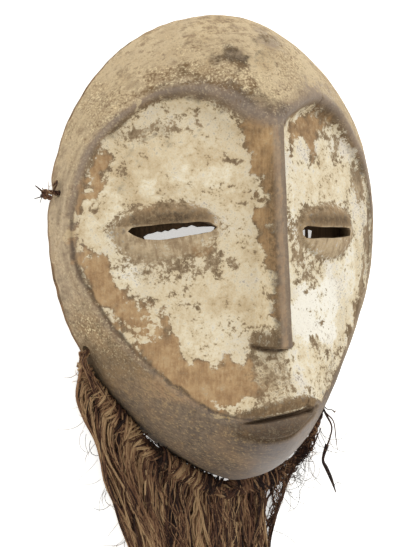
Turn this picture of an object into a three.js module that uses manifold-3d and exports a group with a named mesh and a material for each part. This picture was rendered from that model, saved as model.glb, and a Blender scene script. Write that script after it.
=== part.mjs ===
// A carved heart-faced mask with a raffia beard, lying on its back.
// Millimetres, +Z up. The face looks up, +Y points to the crown of the head and -X is on the
// viewer's left. The carving is worked out in the mask's own plan, with x = 0 on the line of the
// nose and z = 0 at the flat back rim, and the whole is shifted at the end.

import * as THREE from "three";
import { mergeVertices } from "three/addons/utils/BufferGeometryUtils.js";
import Module from "manifold-3d";

const wasm = await Module();
wasm.setup();

// Plan of the rim
const RIM_HALF_WIDTH = 88.5;
const WIDEST_Y = 5;
const RISE_TO_CROWN = 103;
const DROP_TO_CHIN = 125;
const RIM_STEPS = 104;

// Hollow back, as an outline and a depth of its own
const HOLLOW_HALF_WIDTH = 71;
const HOLLOW_RISE = 86;
const HOLLOW_DROP = 104;
const HOLLOW_DEPTH = 41;

// Heart-shaped face and the wall that sinks it below the brow
const WALL_WIDTH = 5.2;
const LEAST_LEDGE = 0.9;

// Nose
const BRIDGE_HALF_WIDTH = 2.2;
const NOSE_FOOT_Y = -51.4;

// Eyes: almond lids, a sunk slit and the part of it that goes right through
const LEFT_EYE = { x: -43.6, y: 3.2, reach: 21.7, up: 11.6, down: 14.4, swell: 4.6 };
const RIGHT_EYE = { x: 38.5, y: 2.4, reach: 20.9, up: 12.6, down: 14.2, swell: 4.6 };
const LEFT_SLIT = { x: -42, y: 2.2, reach: 17.6, half: 4.1, tilt: 0.07, slope: 0.5, sunk: 6.5 };
const RIGHT_SLIT = { x: 36.4, y: 0.9, reach: 18, half: 2.9, tilt: 0.01, slope: -0.5, sunk: 8 };
const LEFT_SIGHT = [
  [-53.5, -2.2], [-44, 0.9], [-36, 2.7], [-25.5, 4.3], [-25.5, 2], [-31, -0.6], [-42, -2.2],
];
const RIGHT_SIGHT = [[19.2, 0.4], [20.8, 3], [25.6, 3.2], [25.6, -1.4], [20.8, -1.2]];

// Mouth
const MOUTH_X = 0.8;
const MOUTH_Y = -82;
const MOUTH_TILT = 0.13;
const MOUTH_HALF_WIDTH = 19;
const UPPER_LIP = 5.6;
const LOWER_LIP = 9.2;
const MOUTH_SLIT = { half: 1, sunk: 3.4 };

// Level above every part of the carving, and a level below the rim
const ABOVE_FACE = 90;
const BELOW_RIM = -5;

// Bores through the jaw for the beard cord, and through the temples for a tie
const LEFT_JAW_BORE_Y = -54.6;
const RIGHT_JAW_BORE_Y = -79.3;
const TEMPLE_BORE_Y = 20;
const BORE_Z = 5.2;
const JAW_BORE_RADIUS = 2.6;
const TEMPLE_BORE_RADIUS = 1.7;

// Beard: a cord bound with looped raffia along the jaw, and hanks of strands that lie on the floor
const CORD_RADIUS = 1.9;
const KNOT_RADIUS = 3.5;
const LEFT_KNOT_DEPTH = 29;
const RIGHT_KNOT_DEPTH = 26;
const HEADER_START_Y = -63.6;
const HEADER_RADIUS = 4.2;
const BARE_HEADER_RADIUS = 2.6;
const HEADER_Z = 4.6;
const OFF_RIM = {
  at: [-0.03, 0.03, 0.1, 0.3, 0.5, 0.56, 0.61, 0.66, 0.7, 0.75, 0.8, 0.85, 0.89],
  by: [3.2, 4.4, 5, 5, 5, 5.5, 7.2, 10, 12.6, 14.2, 12.6, 8.6, 6],
};
const TOUCH_GAP = 0.3;
const DENSE_HANKS = 12;
const LOCKS = [0.71, 0.74, 0.775];
const LOCK_RADIUS = 1.2;
const DENSE_START = -0.03;
const DENSE_END = 0.68;
const BEARD_DROP = 226;
const HANK_HEAD_THICKNESS = 8.4;
const HANK_TIP_THICKNESS = 5;
const HANK_STEPS = 11;
const TIE_RADIUS = 1.2;

// Small maths

const clamp = (v, low, high) => Math.min(high, Math.max(low, v));
const mix = (a, b, t) => a + (b - a) * t;

function smoothstep(low, high, v) {
  const t = clamp((v - low) / (high - low), 0, 1);
  return t * t * (3 - 2 * t);
}

function smoothMax(a, b, blend) {
  const t = clamp(0.5 + (0.5 * (a - b)) / blend, 0, 1);
  return mix(b, a, t) + blend * t * (1 - t) * 0.5;
}

const shares = (steps) => Array.from({ length: steps + 1 }, (unused, i) => i / steps);

// A smooth curve through a few named stations
function along(stations, values, at) {
  const last = stations.length - 1;
  const v = clamp(at, stations[0], stations[last]);
  let i = 0;
  while (i < last - 1 && v > stations[i + 1]) i += 1;
  const slope = (k) => {
    const a = Math.max(0, k - 1);
    const b = Math.min(last, k + 1);
    return (values[b] - values[a]) / (stations[b] - stations[a]);
  };
  const span = stations[i + 1] - stations[i];
  const t = (v - stations[i]) / span;
  const rise = values[i + 1] - values[i];
  const from = slope(i) * span;
  const to = slope(i + 1) * span;
  return values[i] + t * (from + t * (3 * rise - 2 * from - to + t * (from + to - 2 * rise)));
}

// Carved front, as a height above the rim

function rimHalfWidth(y) {
  const d = Math.abs(y - WIDEST_Y);
  if (y >= WIDEST_Y) return RIM_HALF_WIDTH * Math.sqrt(Math.max(0, 1 - (d / RISE_TO_CROWN) ** 2));
  return RIM_HALF_WIDTH * Math.max(0, 1 - (d / DROP_TO_CHIN) ** 2.05) ** 0.75;
}

// Fall from the middle line to the rim, rounded over the middle by a small radius
function sideFall(x, y, sharpness, fullness, rounding) {
  const reach = Math.hypot(rimHalfWidth(y), rounding) - rounding + 1e-9;
  const u = clamp((Math.hypot(x, rounding) - rounding) / reach, 0, 1);
  return Math.max(0, 1 - u ** sharpness) ** fullness;
}

function endFall(y, crownPower, chinPower) {
  const d = Math.abs(y - WIDEST_Y);
  const t = y >= WIDEST_Y ? (d / RISE_TO_CROWN) ** crownPower : (d / DROP_TO_CHIN) ** chinPower;
  return Math.sqrt(Math.max(0, 1 - t));
}

function domeHeight(x, y) {
  const peak = along([-120, -95, -50, 0, 50, 80], [71, 71, 64.5, 64, 68.9, 68.9], y);
  const sharpness = along([-120, -90, -50, 0, 55, 100], [1.84, 1.84, 1.54, 0.97, 1.49, 1.4], y);
  const fullness = along([-120, -90, -50, 0, 55, 100], [0.86, 0.86, 0.81, 0.655, 0.73, 0.76], y);
  return peak * endFall(y, 1.85, 5) * sideFall(x, y, sharpness, fullness, 8);
}

function faceHeight(x, y) {
  const peak = along([-100, -82, -65, -50, 0, 40, 70], [69, 68.5, 62, 57, 55, 54.5, 54.5], y);
  const sharpness = along([-90, -80, -60, -40, 0, 70], [1.84, 1.8, 1.35, 1.12, 1.08, 1.08], y);
  const fullness = along([-90, -80, -60, -40, 0, 70], [0.86, 0.84, 0.64, 0.65, 0.66, 0.66], y);
  return peak * endFall(y, 2.4, 5) * sideFall(x, y, sharpness, fullness, 3);
}

// The crest line of brow and cheeks, from the notch over the nose round by the viewer's left
const crest = new THREE.CatmullRomCurve3(
  [
    [0, 49.7], [-10.3, 52.8], [-21.4, 61.8], [-35, 65.2], [-50, 62], [-66.4, 49], [-76, 34.3],
    [-82, 10], [-81.3, -11], [-72, -33], [-57.5, -54.3], [-40, -72], [-24, -82.5], [0, -83.5],
    [24, -80.5], [40, -71.5], [57.5, -54.3], [72, -33], [81.3, -11], [82, 10], [75.5, 32.5],
    [62, 45.2], [47, 58.4], [32, 63.8], [20, 60.8], [9, 55],
  ].map(([x, y]) => new THREE.Vector3(x, y, 0)),
  true,
  "catmullrom",
  0.5,
);
const crestLine = crest.getPoints(240).slice(0, -1);

// Distance in from the crest line, and negative outside it
function crestDistance(x, y) {
  let nearest = Infinity;
  let inside = false;
  crestLine.forEach((b, i) => {
    const a = crestLine[(i + crestLine.length - 1) % crestLine.length];
    const ex = b.x - a.x;
    const ey = b.y - a.y;
    const t = clamp(((x - a.x) * ex + (y - a.y) * ey) / (ex * ex + ey * ey), 0, 1);
    nearest = Math.min(nearest, Math.hypot(x - a.x - t * ex, y - a.y - t * ey));
    if (a.y > y !== b.y > y && x < a.x + ((y - a.y) / ey) * ex) inside = !inside;
  });
  return inside ? nearest : -nearest;
}

function noseHalfWidth(y) {
  const widths = [11, 10.5, 7.6, 6.4, 6.4, 8, 10.2, 13, 16.6, 20.6];
  return along([-55, -49, -25, 0, 20, 38, 43, 48, 54, 58], widths, y);
}

// The bridge sinks into the brow above the notch
function bridgeHeight(y) {
  return along([-55, -49, 0, 40, 50, 58, 66, 84, 108], [69, 69, 66, 63, 61.3, 57, 50, 20, -20], y);
}

const noseFoot = (x) => NOSE_FOOT_Y + 0.018 * x * x;

function noseHeight(x, y) {
  const side = clamp((Math.abs(x) - BRIDGE_HALF_WIDTH) / (noseHalfWidth(y) - BRIDGE_HALF_WIDTH), 0, 1);
  const foot = smoothstep(noseFoot(x) - 0.7, noseFoot(x) + 0.7, y);
  const base = faceHeight(x, y) - 1;
  return base + (bridgeHeight(y) - base) * (1 - side) * foot;
}

function eyeRadius(eye, x, y) {
  return Math.hypot((x - eye.x) / eye.reach, (y - eye.y) / (y > eye.y ? eye.up : eye.down));
}

function lidLift(eye, x, y) {
  return eye.swell * Math.sqrt(Math.max(0, 1 - eyeRadius(eye, x, y) ** 2.4));
}

const mouthLine = (x) => MOUTH_Y + MOUTH_TILT * (x - MOUTH_X);

function mouthLift(x, y) {
  const across = (x - MOUTH_X) / MOUTH_HALF_WIDTH;
  const taper = 1 - across * across;
  if (taper <= 0) return 0;
  const up = y - mouthLine(x);
  const upperRoll = up > 0 ? -2 * Math.max(0, 1 - up / UPPER_LIP) ** 2 : 0;
  const down = -up / (LOWER_LIP * taper + 0.01);
  const bead = Math.sin(Math.PI * clamp(down, 0, 1));
  const lowerSwell = up < 0 ? (1.3 + 0.9 * bead) * (1 - smoothstep(0.94, 1.12, down)) : 0;
  return upperRoll * Math.sqrt(taper) + lowerSwell * smoothstep(0, 0.35, taper);
}

function carvedHeight(x, y) {
  const dome = domeHeight(x, y);
  const wall = smoothstep(0, WALL_WIDTH, crestDistance(x, y));
  const face = Math.min(faceHeight(x, y), dome - LEAST_LEDGE * smoothstep(0, 8, dome));
  const ground = mix(dome, face, wall);
  const nosed = smoothMax(ground, noseHeight(x, y), mix(0.8, 4.5, smoothstep(30, 50, y)));
  const lids = lidLift(LEFT_EYE, x, y) + lidLift(RIGHT_EYE, x, y);
  return Math.max(0, nosed + lids + mouthLift(x, y));
}

// Hollow back, as a height above the rim
function hollowHalfWidth(y) {
  const d = y >= WIDEST_Y ? (y - WIDEST_Y) / HOLLOW_RISE : (WIDEST_Y - y) / HOLLOW_DROP;
  const power = y >= WIDEST_Y ? 0.5 : 0.7;
  return HOLLOW_HALF_WIDTH * Math.max(0, 1 - d * d) ** power;
}

function hollowHeight(x, y) {
  const half = hollowHalfWidth(y);
  if (half < 1e-6) return 0;
  const d = y >= WIDEST_Y ? (y - WIDEST_Y) / HOLLOW_RISE : (WIDEST_Y - y) / HOLLOW_DROP;
  const ends = Math.sqrt(Math.max(0, 1 - d ** (y >= WIDEST_Y ? 3 : 5)));
  return HOLLOW_DEPTH * ends * Math.max(0, 1 - Math.min(1, Math.abs(x) / half) ** 1.7) ** 0.7;
}

// Points in plan, kept apart by the room that each one asks for

function planPoints() {
  const points = [];
  const add = (x, y, room) => {
    const near = points.some((p) => Math.hypot(p.x - x, p.y - y) < room);
    if (!near) points.push({ x, y });
  };
  return { points, add };
}

// One turn of an outline: up from the widest level to the crown and down to the chin
function outline(halfWidth, rise, drop, steps) {
  return Array.from({ length: steps }, (unused, i) => {
    const turn = (2 * Math.PI * i) / steps;
    const y = WIDEST_Y + Math.cos(turn) * (Math.cos(turn) > 0 ? rise : drop);
    return new THREE.Vector2(-Math.sign(Math.sin(turn)) * halfWidth(y), y);
  });
}

// The outline moved in by a distance, square to itself
function insetOutline(line, distance) {
  return line.map((p, i) => {
    const before = line[(i + line.length - 1) % line.length];
    const after = line[(i + 1) % line.length];
    const way = after.clone().sub(before).normalize();
    return new THREE.Vector2(p.x - way.y * distance, p.y + way.x * distance);
  });
}

// Bowyer and Watson's triangulation of points in plan, turning anticlockwise
function triangulate(points) {
  const far = 1e5;
  const all = [...points, { x: -far, y: -far }, { x: far, y: -far }, { x: 0, y: far }];
  const circle = (a, b, c) => {
    const bx = all[b].x - all[a].x;
    const by = all[b].y - all[a].y;
    const cx = all[c].x - all[a].x;
    const cy = all[c].y - all[a].y;
    const twice = 2 * (bx * cy - by * cx);
    const ux = (cy * (bx * bx + by * by) - by * (cx * cx + cy * cy)) / twice;
    const uy = (bx * (cx * cx + cy * cy) - cx * (bx * bx + by * by)) / twice;
    return { a, b, c, x: all[a].x + ux, y: all[a].y + uy, r2: ux * ux + uy * uy };
  };
  const n = points.length;
  let faces = [circle(n, n + 1, n + 2)];
  points.forEach((p, i) => {
    const edges = new Map();
    faces = faces.filter((f) => {
      if ((p.x - f.x) ** 2 + (p.y - f.y) ** 2 >= f.r2) return true;
      [[f.a, f.b], [f.b, f.c], [f.c, f.a]].forEach(([s, e]) => {
        if (!edges.delete(`${e},${s}`)) edges.set(`${s},${e}`, [s, e]);
      });
      return false;
    });
    edges.forEach(([s, e]) => faces.push(circle(s, e, i)));
  });
  return faces.filter((f) => f.a < n && f.b < n && f.c < n).map((f) => [f.a, f.b, f.c]);
}

// Where the front needs its points: rim, crest, nose, lids and mouth first, then an even fill
function frontPlan(rim) {
  const { points, add } = planPoints();
  rim.forEach((p) => add(p.x, p.y, 0));
  [0.7, 2.4, 5.2, 9, 13.5, 20, 27, 35].forEach((inset, ring) => {
    const room = Math.min(3.8, 0.55 * inset + 0.3);
    insetOutline(rim, inset).forEach((p, i) => {
      const kept = ring < 5 || i % 2 === ring % 2;
      if (kept && crestDistance(p.x, p.y) < -2.2 - 0.2 * ring) add(p.x, p.y, room);
    });
  });
  const crestPoints = crest.getSpacedPoints(150).slice(0, -1).map((p) => new THREE.Vector2(p.x, p.y));
  [-1.6, 0.9, 2.7, 4.4, 6.6].forEach((inset) => {
    insetOutline(crestPoints, inset).forEach((p) => {
      if (Math.abs(crestDistance(p.x, p.y) - inset) < 0.4) add(p.x, p.y, 1.35);
    });
  });
  for (let y = 56; y > noseFoot(0) + 3; y -= y > 36 ? 2.4 : 4.2) {
    const half = noseHalfWidth(y);
    [0, BRIDGE_HALF_WIDTH, (BRIDGE_HALF_WIDTH + half) / 2, half, half + 1.6].forEach((x) => {
      add(x, y, 1.3);
      add(-x, y, 1.3);
    });
  }
  [-1.7, -0.7, 0.8, 2.2].forEach((step) => {
    for (let x = -11; x <= 11; x += 2.2) add(x, noseFoot(x) + step, 0.9);
  });
  [LEFT_EYE, RIGHT_EYE].forEach((eye) => {
    [1.04, 0.93, 0.72, 0.42].forEach((ring) => {
      for (let turn = 0; turn < 26; turn += 1) {
        const s = Math.sin((turn * Math.PI) / 13) * ring;
        const c = Math.cos((turn * Math.PI) / 13) * ring;
        add(eye.x + eye.reach * c, eye.y + s * (s > 0 ? eye.up : eye.down), 1.6);
      }
    });
  });
  for (let x = MOUTH_X - MOUTH_HALF_WIDTH; x <= MOUTH_X + MOUTH_HALF_WIDTH + 0.1; x += 2.1) {
    const lip = LOWER_LIP * (1 - ((x - MOUTH_X) / MOUTH_HALF_WIDTH) ** 2);
    [6, 3.2, 1.2, 0.2, -0.6, -0.45 * lip - 0.9, -0.93 * lip - 0.3, -1.14 * lip - 0.9].forEach((step) => {
      add(x, mouthLine(x) + step, 0.75);
    });
  }
  fill(add, rim, 6.6, 4.4);
  return points;
}

function fill(add, border, spacing, room) {
  const row = spacing * Math.sqrt(0.75);
  const rows = Math.ceil(DROP_TO_CHIN / row);
  const columns = Math.ceil(RIM_HALF_WIDTH / spacing);
  const inside = (x, y) => {
    let within = false;
    border.forEach((b, i) => {
      const a = border[(i + border.length - 1) % border.length];
      if (a.y > y !== b.y > y && x < a.x + ((y - a.y) / (b.y - a.y)) * (b.x - a.x)) within = !within;
    });
    return within;
  };
  for (let j = -rows; j <= rows; j += 1) {
    for (let i = -columns; i <= columns; i += 1) {
      const x = (i + (j % 2 === 0 ? 0 : 0.5)) * spacing + 0.01 * j;
      const y = j * row + 0.013 * i;
      if (inside(x, y)) add(x, y, room);
    }
  }
}

function hollowPlan(edge) {
  const { points, add } = planPoints();
  edge.forEach((p) => add(p.x, p.y, 0));
  [1, 4, 9].forEach((inset) => {
    insetOutline(edge, inset).forEach((p, i) => {
      if (inset < 2 || i % 2 === 0) add(p.x, p.y, 0.7 * inset);
    });
  });
  fill(add, insetOutline(edge, 9), 11, 8);
  return points;
}

// Closed shell of the front, the flat rim and the hollow back

function maskShell() {
  const rim = outline(rimHalfWidth, RISE_TO_CROWN, DROP_TO_CHIN, RIM_STEPS);
  const edge = outline(hollowHalfWidth, HOLLOW_RISE, HOLLOW_DROP, RIM_STEPS);
  const front = frontPlan(rim);
  const hollow = hollowPlan(edge);
  const positions = [];
  front.forEach((p, i) => positions.push(p.x, p.y, i < RIM_STEPS ? 0 : carvedHeight(p.x, p.y)));
  hollow.forEach((p, i) => positions.push(p.x, p.y, i < RIM_STEPS ? 0 : hollowHeight(p.x, p.y)));
  const index = triangulate(front).flat();
  const base = front.length;
  triangulate(hollow).forEach(([a, b, c]) => index.push(base + a, base + c, base + b));
  for (let i = 0; i < RIM_STEPS; i += 1) {
    const next = (i + 1) % RIM_STEPS;
    index.push(i, base + i, next, next, base + i, base + next);
  }
  return meshGeometry(positions, index);
}

function meshGeometry(positions, index) {
  const geometry = new THREE.BufferGeometry();
  geometry.setAttribute("position", new THREE.Float32BufferAttribute(positions, 3));
  geometry.setIndex(index);
  return geometry;
}

// Booleans

function toSolid(geometry) {
  const bare = geometry.clone();
  bare.deleteAttribute("normal");
  bare.deleteAttribute("uv");
  const merged = mergeVertices(bare, 1e-4);
  return new wasm.Manifold(new wasm.Mesh({
    numProp: 3,
    vertProperties: new Float32Array(merged.attributes.position.array),
    triVerts: new Uint32Array(merged.index.array),
  }));
}

function fromSolid(solid) {
  const mesh = solid.getMesh();
  return meshGeometry(Array.from(mesh.vertProperties), Array.from(mesh.triVerts));
}

// A cutter that stands on a sloping floor and reaches above the face
function standingCutter(shape, floorAt) {
  const cutter = new THREE.ExtrudeGeometry(shape, { depth: 1, bevelEnabled: false });
  const place = cutter.attributes.position;
  for (let i = 0; i < place.count; i += 1) {
    const floor = floorAt(place.getX(i), place.getY(i));
    place.setZ(i, place.getZ(i) > 0.5 ? ABOVE_FACE : floor);
  }
  return cutter;
}

function slitCutter(slit) {
  const shape = new THREE.Shape();
  const steps = 22;
  for (let i = 0; i < steps; i += 1) {
    const turn = (2 * Math.PI * i) / steps;
    const c = Math.cos(turn);
    const dx = slit.reach * Math.sign(c) * Math.abs(c) ** 0.8;
    const dy = slit.half * Math.sign(Math.sin(turn)) * Math.abs(Math.sin(turn)) ** 0.75;
    const point = [slit.x + dx, slit.y + dy + slit.tilt * dx];
    if (i === 0) shape.moveTo(...point);
    else shape.lineTo(...point);
  }
  const middle = faceHeight(slit.x, slit.y) - slit.sunk;
  return standingCutter(shape, (x) => middle + slit.slope * (x - slit.x));
}

function mouthCutter() {
  const reach = MOUTH_HALF_WIDTH - 0.4;
  const edge = (way) => shares(12).map((share) => {
    const x = MOUTH_X + way * reach * (2 * share - 1);
    const half = MOUTH_SLIT.half * (1 - (2 * share - 1) ** 4) + 0.02;
    return new THREE.Vector2(x, mouthLine(x) - way * half);
  });
  const floorAt = (x, y) => domeHeight(x, y) - MOUTH_SLIT.sunk * (1 - ((x - MOUTH_X) / reach) ** 2) - 0.4;
  return standingCutter(new THREE.Shape([...edge(1), ...edge(-1)]), floorAt);
}

function sightCutter(corners) {
  const shape = new THREE.Shape(corners.map(([x, y]) => new THREE.Vector2(x, y)));
  return standingCutter(shape, () => BELOW_RIM);
}

// Plan place of a bore at a level, with the way that points out of the wood
function rimPlace(y, side) {
  const step = 0.5;
  const slope = (rimHalfWidth(y + step) - rimHalfWidth(y - step)) / (2 * step);
  const out = new THREE.Vector3(side, -slope, 0).normalize();
  return { at: new THREE.Vector3(side * rimHalfWidth(y), y, BORE_Z), out };
}

function boreCutter(y, side, radius) {
  const { at, out } = rimPlace(y, side);
  const bore = new THREE.CylinderGeometry(radius, radius, 64, 12);
  bore.applyQuaternion(new THREE.Quaternion().setFromUnitVectors(new THREE.Vector3(0, 1, 0), out));
  const middle = at.clone().addScaledVector(out, -20);
  return bore.translate(middle.x, middle.y, middle.z);
}

function maskGeometry() {
  const cutters = [
    slitCutter(LEFT_SLIT),
    slitCutter(RIGHT_SLIT),
    mouthCutter(),
    sightCutter(LEFT_SIGHT),
    sightCutter(RIGHT_SIGHT),
    boreCutter(LEFT_JAW_BORE_Y, -1, JAW_BORE_RADIUS),
    boreCutter(RIGHT_JAW_BORE_Y, 1, JAW_BORE_RADIUS),
    boreCutter(TEMPLE_BORE_Y, -1, TEMPLE_BORE_RADIUS),
    boreCutter(TEMPLE_BORE_Y, 1, TEMPLE_BORE_RADIUS),
  ];
  return fromSolid(cutters.reduce((solid, cutter) => solid.subtract(toSolid(cutter)), toSolid(maskShell())));
}

// A closed tube of changing radius through given rings
function ringsGeometry(rings) {
  const sides = rings[0].length;
  const positions = rings.flat().flatMap((p) => [p.x, p.y, p.z]);
  const index = [];
  for (let r = 0; r < rings.length - 1; r += 1) {
    for (let s = 0; s < sides; s += 1) {
      const a = r * sides + s;
      const b = r * sides + ((s + 1) % sides);
      index.push(a, b, b + sides, a, b + sides, a + sides);
    }
  }
  const last = (rings.length - 1) * sides;
  for (let s = 1; s < sides - 1; s += 1) {
    index.push(0, s + 1, s, last, last + s, last + s + 1);
  }
  return meshGeometry(positions, index);
}

// The rings stand square to the path, at the given shares of its length
function sweep(path, ringShares, radiusAt, sides) {
  const rings = ringShares.map((share) => {
    const centre = path.getPointAt(share);
    const way = path.getTangentAt(share);
    const across = new THREE.Vector3(0, 0, 1).cross(way).normalize();
    const up = way.clone().cross(across).normalize();
    const reach = radiusAt(share, centre);
    return Array.from({ length: sides }, (unused, s) => {
      const turn = (2 * Math.PI * (s + 0.5)) / sides;
      const point = centre.clone().addScaledVector(across, reach * Math.cos(turn));
      return point.addScaledVector(up, reach * Math.sin(turn));
    });
  });
  return ringsGeometry(rings);
}

// Header of the beard: its plan runs outside the rim from the viewer's left jaw (0) to the right (1)

function headerOutline(t) {
  const spread = Math.acos((WIDEST_Y - HEADER_START_Y) / DROP_TO_CHIN);
  const turn = Math.PI + mix(-spread, spread, t);
  const y = WIDEST_Y + DROP_TO_CHIN * Math.cos(turn);
  return new THREE.Vector2(-Math.sign(Math.sin(turn)) * rimHalfWidth(y), y);
}

function headerRadius(t) {
  const dense = along([DENSE_START, 0.06, 0.15], [2, 4, HEADER_RADIUS], t);
  return mix(dense, BARE_HEADER_RADIUS, smoothstep(DENSE_END, DENSE_END + 0.08, t));
}

function headerPlace(t) {
  const step = 0.004;
  const way = headerOutline(t + step).sub(headerOutline(t - step)).normalize();
  const out = new THREE.Vector3(way.y, -way.x, 0);
  const plan = headerOutline(t);
  const at = new THREE.Vector3(plan.x, plan.y, HEADER_Z);
  at.addScaledVector(out, along(OFF_RIM.at, OFF_RIM.by, t));
  return { at, out };
}

// Beard cord: knotted inside one jaw bore, out, round below the chin and in at the other
function beardCordGeometry() {
  const through = (y, side, knotDepth, bend) => {
    const { at, out } = rimPlace(y, side);
    const depths = [knotDepth + 3, knotDepth, 20, 13, 6, 0, -bend];
    return depths.map((depth) => at.clone().addScaledVector(out, -depth));
  };
  const run = [0.01, 0.06, 0.12, 0.2, 0.28, 0.36, 0.43, 0.5, 0.57, 0.63, 0.69, 0.75, 0.81, 0.86];
  const left = through(LEFT_JAW_BORE_Y, -1, LEFT_KNOT_DEPTH, 2.8);
  const right = through(RIGHT_JAW_BORE_Y, 1, RIGHT_KNOT_DEPTH, 3.4).reverse();
  const points = [...left, ...run.map((t) => headerPlace(t).at), ...right];
  const path = new THREE.CatmullRomCurve3(points, false, "centripetal");
  const length = path.getLength();
  const radiusAt = (share, { x, y }) => {
    const fromEnd = Math.min(share, 1 - share) * length;
    const knot = KNOT_RADIUS * Math.sqrt(Math.max(0.05, 1 - ((fromEnd - 3.4) / 3.6) ** 2));
    if (fromEnd < 6.6) return Math.max(CORD_RADIUS, knot);
    const dense = smoothstep(57, 71, -y) * (1 - smoothstep(20, 34, x));
    const bare = mix(CORD_RADIUS, BARE_HEADER_RADIUS, smoothstep(86, 96, -y));
    return mix(bare, HEADER_RADIUS, dense);
  };
  return sweep(path, shares(54), radiusAt, 8);
}

// Beard strands: where the strand that starts at t on the header lies, from its head (0) to its tip (1)

const denseShare = (t) => clamp((t - DENSE_START) / (DENSE_END - DENSE_START), 0, 1);
const bareShare = (t) => clamp((t - DENSE_END) / 0.1, 0, 1);

function strandEnd(t) {
  const dense = denseShare(t);
  const bare = bareShare(t);
  const x = mix(-22, 14, dense) + 22 * bare ** 0.9;
  const drop = BEARD_DROP + 26 * Math.sin(Math.PI * (0.15 + 0.75 * dense)) + 5 * Math.sin(23 * t);
  return new THREE.Vector3(x, -mix(drop, 152, bare ** 0.7), 0);
}

function strandPlan(t, s) {
  const { at, out } = headerPlace(t);
  const clear = TOUCH_GAP + 0.2 + 1.5 * (1 - smoothstep(DENSE_START, 0.06, t));
  const head = at.clone().addScaledVector(out, headerRadius(t) + clear).setZ(0);
  const tip = strandEnd(t);
  const dense = denseShare(t);
  const bare = bareShare(t);
  const spread = mix(9, 0, dense) - bare;
  const leave = head.clone().addScaledVector(out, spread).add(new THREE.Vector3(0, mix(-16, -9, dense), 0));
  const sway = mix(mix(-15, 6, dense), 0.4 * (head.x - tip.x), clamp(4 * bare, 0, 1));
  const near = tip.clone().add(new THREE.Vector3(sway, 0.4 * (head.y - tip.y), 0));
  return new THREE.CubicBezierCurve3(head, leave, near, tip).getPoint(s);
}

// A flat bundle of strands between two neighbouring courses
function hankGeometry(from, to) {
  const rings = shares(HANK_STEPS).map((s) => {
    const a = strandPlan(from, s);
    const b = strandPlan(to, s);
    const across = b.clone().sub(a);
    const width = across.length();
    across.normalize();
    const half = (0.5 * width - 0.5 * TOUCH_GAP) * (1 - 0.72 * smoothstep(0.8, 1, s));
    const thick = 0.5 * mix(HANK_HEAD_THICKNESS, HANK_TIP_THICKNESS, s ** 0.8);
    const middle = a.clone().lerp(b, 0.5).setZ(TOUCH_GAP + thick);
    return Array.from({ length: 8 }, (unused, k) => {
      const turn = (Math.PI * (2 * k + 1)) / 8;
      const point = middle.clone().addScaledVector(across, (half * Math.cos(turn)) / Math.cos(Math.PI / 8));
      return point.add(new THREE.Vector3(0, 0, (thick * Math.sin(turn)) / Math.cos(Math.PI / 8)));
    });
  });
  return ringsGeometry(rings);
}

// A thin lock of strands off the bare end of the header
function lockGeometry(t) {
  const points = shares(14).map((s) => strandPlan(t, mix(0.03, 1, s)).setZ(TOUCH_GAP + LOCK_RADIUS));
  const path = new THREE.CatmullRomCurve3(points);
  const radiusAt = (share) => LOCK_RADIUS * (1 - 0.7 * smoothstep(0.75, 1, share));
  return sweep(path, shares(10), radiusAt, 6);
}

// Tie in the temple bore: a short cord with a knot at each side of the wood and two stiff ends
function templeTieGeometry() {
  const { at, out } = rimPlace(TEMPLE_BORE_Y, -1);
  const place = (depth, dy = 0, dz = 0) => {
    return at.clone().addScaledVector(out, -depth).add(new THREE.Vector3(0, dy, dz));
  };
  const path = new THREE.CatmullRomCurve3([27, 24, 20, 12, 4, -1, -4.4, -7.2].map((depth) => place(depth)));
  const length = path.getLength();
  const radiusAt = (share) => {
    const inner = 3 * Math.sqrt(Math.max(0.05, 1 - ((share * length - 3) / 3.2) ** 2));
    const outer = 2.7 * Math.sqrt(Math.max(0.05, 1 - (((1 - share) * length - 2.6) / 2.8) ** 2));
    return Math.max(TIE_RADIUS, share < 0.5 ? inner : outer);
  };
  const ends = [[4.2, 4.4, 1.6], [4.6, -1.2, -0.6]].map(([reach, dy, dz]) => {
    const line = new THREE.LineCurve3(place(-4.4), place(-4.4 - reach, dy, dz));
    return sweep(line, [0, 1], () => 0.7, 5);
  });
  const cord = toSolid(sweep(path, shares(24), radiusAt, 6));
  return fromSolid(ends.reduce((solid, end) => solid.add(toSolid(end)), cord));
}

// Assembly

const part = new THREE.Group();

function addPiece(name, geometry, color, roughness) {
  geometry.computeVertexNormals();
  const material = new THREE.MeshStandardMaterial({ color, roughness, metalness: 0 });
  const piece = new THREE.Mesh(geometry, material);
  piece.name = name;
  part.add(piece);
}

addPiece("mask", maskGeometry(), 0xb9a283, 0.75);
addPiece("beard_cord", beardCordGeometry(), 0x5d4230, 0.9);
addPiece("temple_tie", templeTieGeometry(), 0x4a3527, 0.9);
for (let i = 0; i < DENSE_HANKS; i += 1) {
  const [from, to] = [i, i + 1].map((edge) => mix(DENSE_START, DENSE_END, edge / DENSE_HANKS));
  const hank = hankGeometry(from, to);
  addPiece(`beard_hank_${String(i + 1).padStart(2, "0")}`, hank, 0x6f4f38, 0.9);
}
LOCKS.forEach((t, i) => addPiece(`beard_lock_${i + 1}`, lockGeometry(t), 0x5d4230, 0.9));

const box = new THREE.Box3().setFromObject(part);
const middle = box.getCenter(new THREE.Vector3());
part.position.set(-middle.x, -middle.y, -box.min.z);

export default part;
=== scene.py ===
"""A carved heart-faced wooden mask with a raffia beard, lying on its flat back rim.

The carving is worked out in millimetres in the mask's own plan: x = 0 on the line of the nose,
z = 0 at the back rim, +y to the crown and -x on the viewer's left.
"""

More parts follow.
